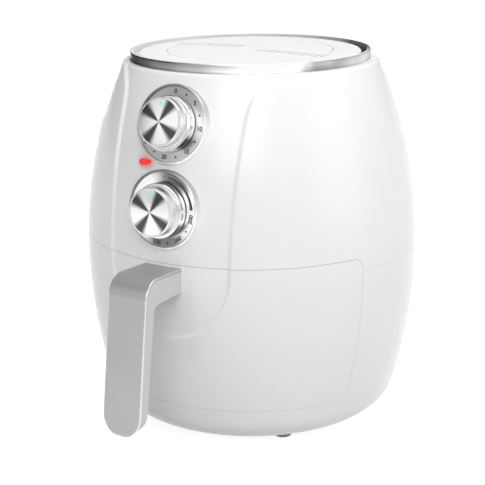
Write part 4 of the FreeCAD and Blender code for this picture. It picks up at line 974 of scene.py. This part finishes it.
def make_knob(name, joint, body):
    place = seat(joint)
    knob = [
        (KNOB_BORE, KNOB_FOOT), (SKIRT_RADIUS, KNOB_FOOT), (SKIRT_RADIUS, SKIRT_TOP),
        (KNOB_RADIUS, SKIRT_TOP), (KNOB_RADIUS, KNOB_GROOVE - KNOB_GROOVE_DEPTH),
        (KNOB_RADIUS - KNOB_GROOVE_DEPTH, KNOB_GROOVE), (KNOB_RADIUS, KNOB_GROOVE + KNOB_GROOVE_DEPTH),
        (KNOB_RADIUS, KNOB_TOP), (FACE_RADIUS, KNOB_TOP), (FACE_RADIUS, FACE_FLOOR), (KNOB_BORE, FACE_FLOOR),
    ]
    piece = turned_piece(name + "_grip", knob, KNOB_ROUNDS, knob_chrome, body, [name + "_knob"], place)
    # The skirt's faces take the knob_skirt material, with its painted reflection of two dark patches.
    piece.data.materials.append(knob_skirt)
    for face in piece.data.polygons:
        face.material_index = int(face.center.z < (SKIRT_TOP - SKIRT_MARGIN) * MM)
    edge, top = FACE_RADIUS - DISC_GAP, KNOB_TOP - DISC_SUNK
    disc = [(0, FACE_FLOOR), (edge, FACE_FLOOR), (edge, top), (0, top)]
    turned_piece(name + "_disc", disc, DISC_ROUNDS, knob_face, body, [name + "_knob_face"], place)


# Print on the dials


def numeral(text):
    """Points and faces of a printed number, centred on its own origin."""
    curve = bpy.data.curves.new("numeral", "FONT")
    curve.body = text
    curve.size = NUMERAL_SIZE
    curve.align_x = curve.align_y = "CENTER"
    curve.extrude = INK / 2
    curve.offset = NUMERAL_WEIGHT
    curve.resolution_u = NUMERAL_STEPS
    holder = link_object(bpy.data.objects.new("numeral", curve))
    mesh = evaluated_mesh(holder)
    points = [tuple(vertex.co) for vertex in mesh.vertices]
    faces = [tuple(face.vertices) for face in mesh.polygons]
    bpy.data.objects.remove(holder)
    bpy.data.meshes.remove(mesh)
    return points, faces


def on_dial(degrees, radius):
    turn = math.radians(degrees)
    return radius * math.sin(turn), radius * math.cos(turn)


class Print:
    """Ink on a dial's face, gathered into one piece."""

    def __init__(self):
        self.points = []
        self.faces = []

    def add(self, shape, place=(0, 0), turn=0.0):
        points, faces = shape
        start = len(self.points)
        spin = Matrix.Rotation(-math.radians(turn), 3, "Z")
        shift = Vector((*place, DIAL_FACE + INK / 2))
        self.points += [tuple(spin @ Vector(point) + shift) for point in points]
        self.faces += [tuple(start + index for index in face) for face in faces]

    def patch(self, outline, place=(0, 0)):
        self.add(block(outline, 2, -INK / 2, INK / 2), place)

    def dot(self, degrees, radius):
        circle = [on_dial(turn, DOT_RADIUS) for turn in range(360, 0, -DOT_STEP)]
        self.patch(circle, on_dial(degrees, radius))

    def finish(self, name, joint):
        piece = mesh_piece(name, self.points, self.faces, ink, "housing", place=seat(joint))
        face_outwards(piece.data)
        smooth_by_angle(piece)


def print_timer():
    scale = Print()
    for number, text in enumerate(TIMER_NUMBERS):
        turn = number * TIMER_STEP
        scale.add(numeral(text), on_dial(turn, TIMER_CIRCLE))
        if number + 1 < len(TIMER_NUMBERS):
            scale.dot(turn + TIMER_STEP / 2, TIMER_CIRCLE)
    scale.finish("timer_numbers", "timer_knob_turn")


def print_heat():
    """A widening arc, a tick, numbers that read from outside the dial, and dots."""
    scale = Print()
    start, end = HEAT_ARC
    outer, inner = [], []
    for turn in spaced(start, end, HEAT_ARC_STEP):
        width = HEAT_ARC_WIDTH + HEAT_ARC_GROWTH * (turn - start) / (end - start)
        outer.append(on_dial(turn, HEAT_CIRCLE + width))
        inner.append(on_dial(turn, HEAT_CIRCLE - width))
    scale.patch(outer + inner[::-1])
    x, y = TICK_HALF_WIDTH, TICK_HALF_LENGTH
    scale.patch([(-x, -y), (x, -y), (x, y), (-x, y)], on_dial(0, HEAT_CIRCLE))
    for text, turn in HEAT_NUMBERS:
        scale.add(numeral(text), on_dial(turn, HEAT_CIRCLE), turn + 180)
    for turn in HEAT_DOTS:
        scale.dot(turn, HEAT_CIRCLE)
    scale.finish("temperature_numbers", "temperature_knob_turn")


# Handle


def arc(centre, radii, start, end, steps=10):
    """Points of an arc; degrees run from +Y towards +Z."""
    turns = [math.radians(start + (end - start) * i / steps) for i in range(steps + 1)]
    return [(centre[0] + radii[0] * math.cos(turn), centre[1] + radii[1] * math.sin(turn)) for turn in turns]


def handle_outer(inset):
    """The handle's outer side in side view, from its root over the bend to the tip of its end."""
    corner = HANDLE_CORNER - inset
    bend = AXIS_Y - HANDLE_REACH + HANDLE_CORNER, HANDLE_TOP - inset - corner
    tip = HANDLE_TIP - inset
    front = AXIS_Y - HANDLE_FRONT
    line = [(AXIS_Y - HANDLE_ROOT, ARM_TOP - inset)]
    line += arc(bend, (corner, corner), 90, 180, HANDLE_CORNER_STEPS)
    (start_y, start), (end_y, end) = line[-1], (front + inset, HANDLE_BOTTOM + HANDLE_TIP)
    for turn in spaced(0, math.acos(HANDLE_TIP / HANDLE_HALF_WIDTH), HANDLE_TURN)[:-1]:
        height = HANDLE_BOTTOM + HANDLE_HALF_WIDTH * math.cos(turn)
        share = (height - start) / (end - start)
        line.append((start_y + (end_y - start_y) * share, height))
    end_centre = front + HANDLE_TIP, HANDLE_BOTTOM + HANDLE_TIP
    return line + arc(end_centre, (tip, tip), 180, 270, HANDLE_TIP_STEPS)


def handle_half_width(height):
    """Half the handle's width, which ends in a half round."""
    past = max(HANDLE_BOTTOM + HANDLE_HALF_WIDTH - height, 0)
    return math.sqrt(max(HANDLE_HALF_WIDTH**2 - past**2, HANDLE_TIP_HALF_WIDTH**2))


def against_drawer(piece):
    """Let a handle piece's root end on the drawer front."""
    for vertex in piece.data.vertices:
        x, y, z = vertex.co / MM
        radius, _, out, _ = on_barrel(z)
        wall = AXIS_Y - math.sqrt((radius - RECESS_DEPTH * out) ** 2 - x**2)
        vertex.co.y = min(y, wall) * MM


def make_handle_skin():
    """A sheet swept along the handle's outer side, with rounded bright edges."""
    section = 2 * (SKIN_EDGE_STEPS + 1) + 2
    points = []
    for (y, z), (inner_y, inner_z) in zip(handle_outer(0), handle_outer(HANDLE_SKIN)):
        half = handle_half_width(z)
        edge = min(SKIN_EDGE, half * SKIN_EDGE_SHARE)
        loop = [(-half, HANDLE_SKIN)]
        for side, start, end in ((-1, 180, 90), (1, 90, 0)):
            turn = arc((0, 0), (edge, edge), start, end, SKIN_EDGE_STEPS)
            loop += [(x + side * (half - edge), edge - deep) for x, deep in turn]
        loop += [(half, HANDLE_SKIN)]
        for x, deep in loop:
            share = deep / HANDLE_SKIN
            points.append((x, y + (inner_y - y) * share, z + (inner_z - z) * share))
    rows = len(points) // section
    faces = [tuple(range(section)), tuple(range((rows - 1) * section, rows * section))]
    ends = len(faces)
    faces += grid_faces(rows, section, closed=True)
    piece = mesh_piece("handle_cover", points, faces, handle_satin, "drawer", ["handle_skin"])
    piece.data.materials.append(handle_edge)
    for number, face in enumerate(piece.data.polygons):
        broad = (number - ends) % section in (section // 2 - 1, section - 1)
        face.material_index = 0 if broad or number < ends else 1
    face_outwards(piece.data)
    against_drawer(piece)
    even_normals(piece)


def make_handle_body():
    back = AXIS_Y - HANDLE_REACH + GRIP
    bend = HANDLE_INNER_CORNER
    end = AXIS_Y - HANDLE_FRONT + GRIP / 2, HANDLE_BOTTOM + GRIP / 2
    outline = handle_outer(HANDLE_SKIN + SKIN_GAP)
    outline += arc(end, (GRIP / 2, GRIP / 2 - HANDLE_SKIN), 270, 360)
    outline += arc((back + bend, ARM_BOTTOM - bend), (bend, bend), 180, 90)
    outline += [(AXIS_Y - HANDLE_ROOT, ARM_BOTTOM)]
    half = HANDLE_HALF_WIDTH - SKIN_STAND
    piece = mesh_piece("handle_core", *block(outline, 0, -half, half), handle_side, "drawer", ["handle_body"])
    face_outwards(piece.data)
    view = stadium(half, HANDLE_BOTTOM + HANDLE_HALF_WIDTH, HANDLE_TOP + HANDLE_HALF_WIDTH, GRIP_STEPS)
    near, far = (AXIS_Y - reach for reach in GRIP_VIEW_REACH)
    carve(piece, cutter(block(view, 1, near, far)), "INTERSECT")
    round_edges(piece, GRIP_EDGE, segments=3)
    settle(piece)
    against_drawer(piece)
    even_normals(piece)


make_handle_skin()
make_handle_body()
make_top_ring()
make_top_cover()
make_dial("timer", "timer_knob_turn", dial_satin)
make_dial("temperature", "temperature_knob_turn", dial_chrome)
make_knob("timer", "timer_knob_turn", "timer_control")
make_knob("temperature", "temperature_knob_turn", "temperature_control")
print_timer()
print_heat()
make_control_plate()
make_upper_housing()
make_lower_housing()
make_drawer_front()

# CAD pieces that keep their shape: joined faces, rounded edges and a material each


def dress(node, material, edge):
    obj = nodes[node]
    obj.data.materials.clear()
    obj.data.materials.append(material)
    weld = obj.modifiers.new("weld", "WELD")
    weld.merge_threshold = CAD_WELD * MM
    if edge:
        flat = obj.modifiers.new("flat", "DECIMATE")
        flat.decimate_type = "DISSOLVE"
        flat.angle_limit = math.radians(CAD_FLAT_ANGLE)
        round_edges(obj, edge, angle=CAD_EDGE_ANGLE)
    smooth_by_angle(obj)


DRESSED = (
    (white_matt, "rear_grille base_plate", 0.3),
    (pointer_mark, "timer_pointer temperature_pointer", 0.0),
    (lens_red, "indicator_lens", 0.5),
    (lamp_glass, "indicator_lamp", 0.2),
    (steel, "timer_shaft temperature_shaft base_screws handle_screws", 0.15),
    (steel, "chamber_screws fan_nut motor_shaft", 0.15),
    (steel, "thermostat fan_guard", 0.2),
    (zinc, "bay_liner motor_bracket fan_motor", 0.2),
    (chamber, "cooking_chamber convection_fan", 0.2),
    (element_steel, "heating_element", 0.0),
    (ceramic, "element_insulators", 0.3),
    (dark_plastic, "drawer_frame bay_floor cooling_fan", 0.3),
    (pale_plastic, "timer_mechanism", 0.5),
    (non_stick, "pan crisper_tray", 0.3),
    (rubber, "tray_feet cord_gland", 0.4),
    (foot_rubber, "rear_right_foot rear_left_foot front_left_foot front_right_foot", 0.5),
)
for material, names, edge in DRESSED:
    for node in names.split():
        dress(node, material, edge)

# Floor, light and camera, in metres

FLOOR_HALF = 30
FLOOR_COLOUR = (0.42, 0.42, 0.42)
FLOOR_ROUGHNESS = 0.9
FLOOR_LIFT = 0.85
WORLD_LIGHT = 0.8
WORLD_STOPS = ((0.1, (0.16, 0.16, 0.163)), (0.8, (0.97, 0.97, 0.97)))
PLAIN_WHITE = (1, 1, 1, 1)
LAMP_TARGET = Vector((0, 0, 0.15))
# Each lamp's name, place, width and height, and watts
LAMPS = (
    ("key", (0.6, -1.45, 1.15), (1.1, 1.1), 10.4),
    ("overhead", (0.2, 0.0, 1.8), (1.6, 1.6), 15),
    ("front", (-0.8, -1.6, 0.8), (1.1, 0.9), 2.4),
    ("side", (1.5, 0.1, 0.5), (1.0, 0.8), 3),
    ("rear", (-0.9, 1.3, 0.22), (1.1, 0.3), 7),
)
IMAGE_SIDE = 485
FOCAL_PIXELS = 1206.6
SENSOR = 36
CAMERA_PLACE = Vector((0.4888, -0.8171, 0.4257))
CAMERA_LOOK = Vector((-0.4861, 0.8263, -0.2845))
CAMERA_ROLL = math.radians(-0.679)


def make_floor():
    """A pale floor that reads as white to the eye and in reflections, and keeps the object's shadow."""
    mesh = bpy.data.meshes.new("floor")
    corners = [(x * FLOOR_HALF, y * FLOOR_HALF, 0) for x, y in ((-1, -1), (1, -1), (1, 1), (-1, 1))]
    mesh.from_pydata(corners, [], [(0, 1, 2, 3)])
    floor = link_object(bpy.data.objects.new("floor", mesh))
    shader = Shader("floor", FLOOR_COLOUR, FLOOR_ROUGHNESS, Specular_IOR_Level=0.0)
    shader.set("Emission Color", PLAIN_WHITE)
    rays = shader.add("ShaderNodeLightPath").outputs
    seen = rays["Is Camera Ray"]
    for kind in ("Is Glossy Ray", "Is Transmission Ray"):
        seen = shader.add("ShaderNodeMath", {0: seen, 1: rays[kind]}, operation="MAXIMUM").outputs["Value"]
    glow = shader.add("ShaderNodeMath", {0: seen, 1: FLOOR_LIFT}, operation="MULTIPLY").outputs["Value"]
    shader.set("Emission Strength", glow)
    mesh.materials.append(shader.material)


def make_world():
    """Studio surroundings, darker to the left and pale to the right, that the eye sees as white."""
    world = bpy.data.worlds.new("studio")
    bpy.context.scene.world = world
    world.use_nodes = True
    graph = Nodes(world.node_tree)
    background = graph.tree.nodes["Background"].inputs
    place = graph.add("ShaderNodeTexCoord").outputs["Generated"]
    x = graph.add("ShaderNodeSeparateXYZ", {"Vector": place}).outputs["X"]
    limits = {"Value": x, "From Min": -1, "From Max": 1}
    across = graph.add("ShaderNodeMapRange", limits).outputs["Result"]
    ramp = graph.add("ShaderNodeValToRGB", {"Fac": across})
    for element, (position, colour) in zip(ramp.color_ramp.elements, WORLD_STOPS):
        element.position = position
        element.color = (*colour, 1)
    seen = graph.add("ShaderNodeLightPath").outputs["Is Camera Ray"]
    blend = {"Factor": seen, "A": ramp.outputs["Color"], "B": PLAIN_WHITE}
    graph.join(background["Color"], graph.add("ShaderNodeMix", blend, data_type="RGBA").outputs["Result"])
    limits = {"Value": seen, "To Min": WORLD_LIGHT, "To Max": 1}
    graph.join(background["Strength"], graph.add("ShaderNodeMapRange", limits).outputs["Result"])


def soft_light(name, place, size, power):
    data = bpy.data.lights.new(name, "AREA")
    data.shape = "RECTANGLE"
    data.size, data.size_y = size
    data.energy = power
    lamp = link_object(bpy.data.objects.new(name, data))
    lamp.location = place
    lamp.rotation_euler = (LAMP_TARGET - Vector(place)).to_track_quat("-Z", "Y").to_euler()


def make_camera():
    data = bpy.data.cameras.new("camera")
    data.sensor_width = SENSOR
    data.lens = SENSOR * FOCAL_PIXELS / IMAGE_SIDE
    camera = link_object(bpy.data.objects.new("camera", data))
    aim = CAMERA_LOOK.to_track_quat("-Z", "Y").to_matrix().to_4x4()
    camera.matrix_world = Matrix.Translation(CAMERA_PLACE) @ aim @ Matrix.Rotation(CAMERA_ROLL, 4, "Z")
    bpy.context.scene.camera = camera


make_floor()
make_world()
for lamp in LAMPS:
    soft_light(*lamp)
make_camera()
bpy.context.scene.view_settings.view_transform = "Standard"
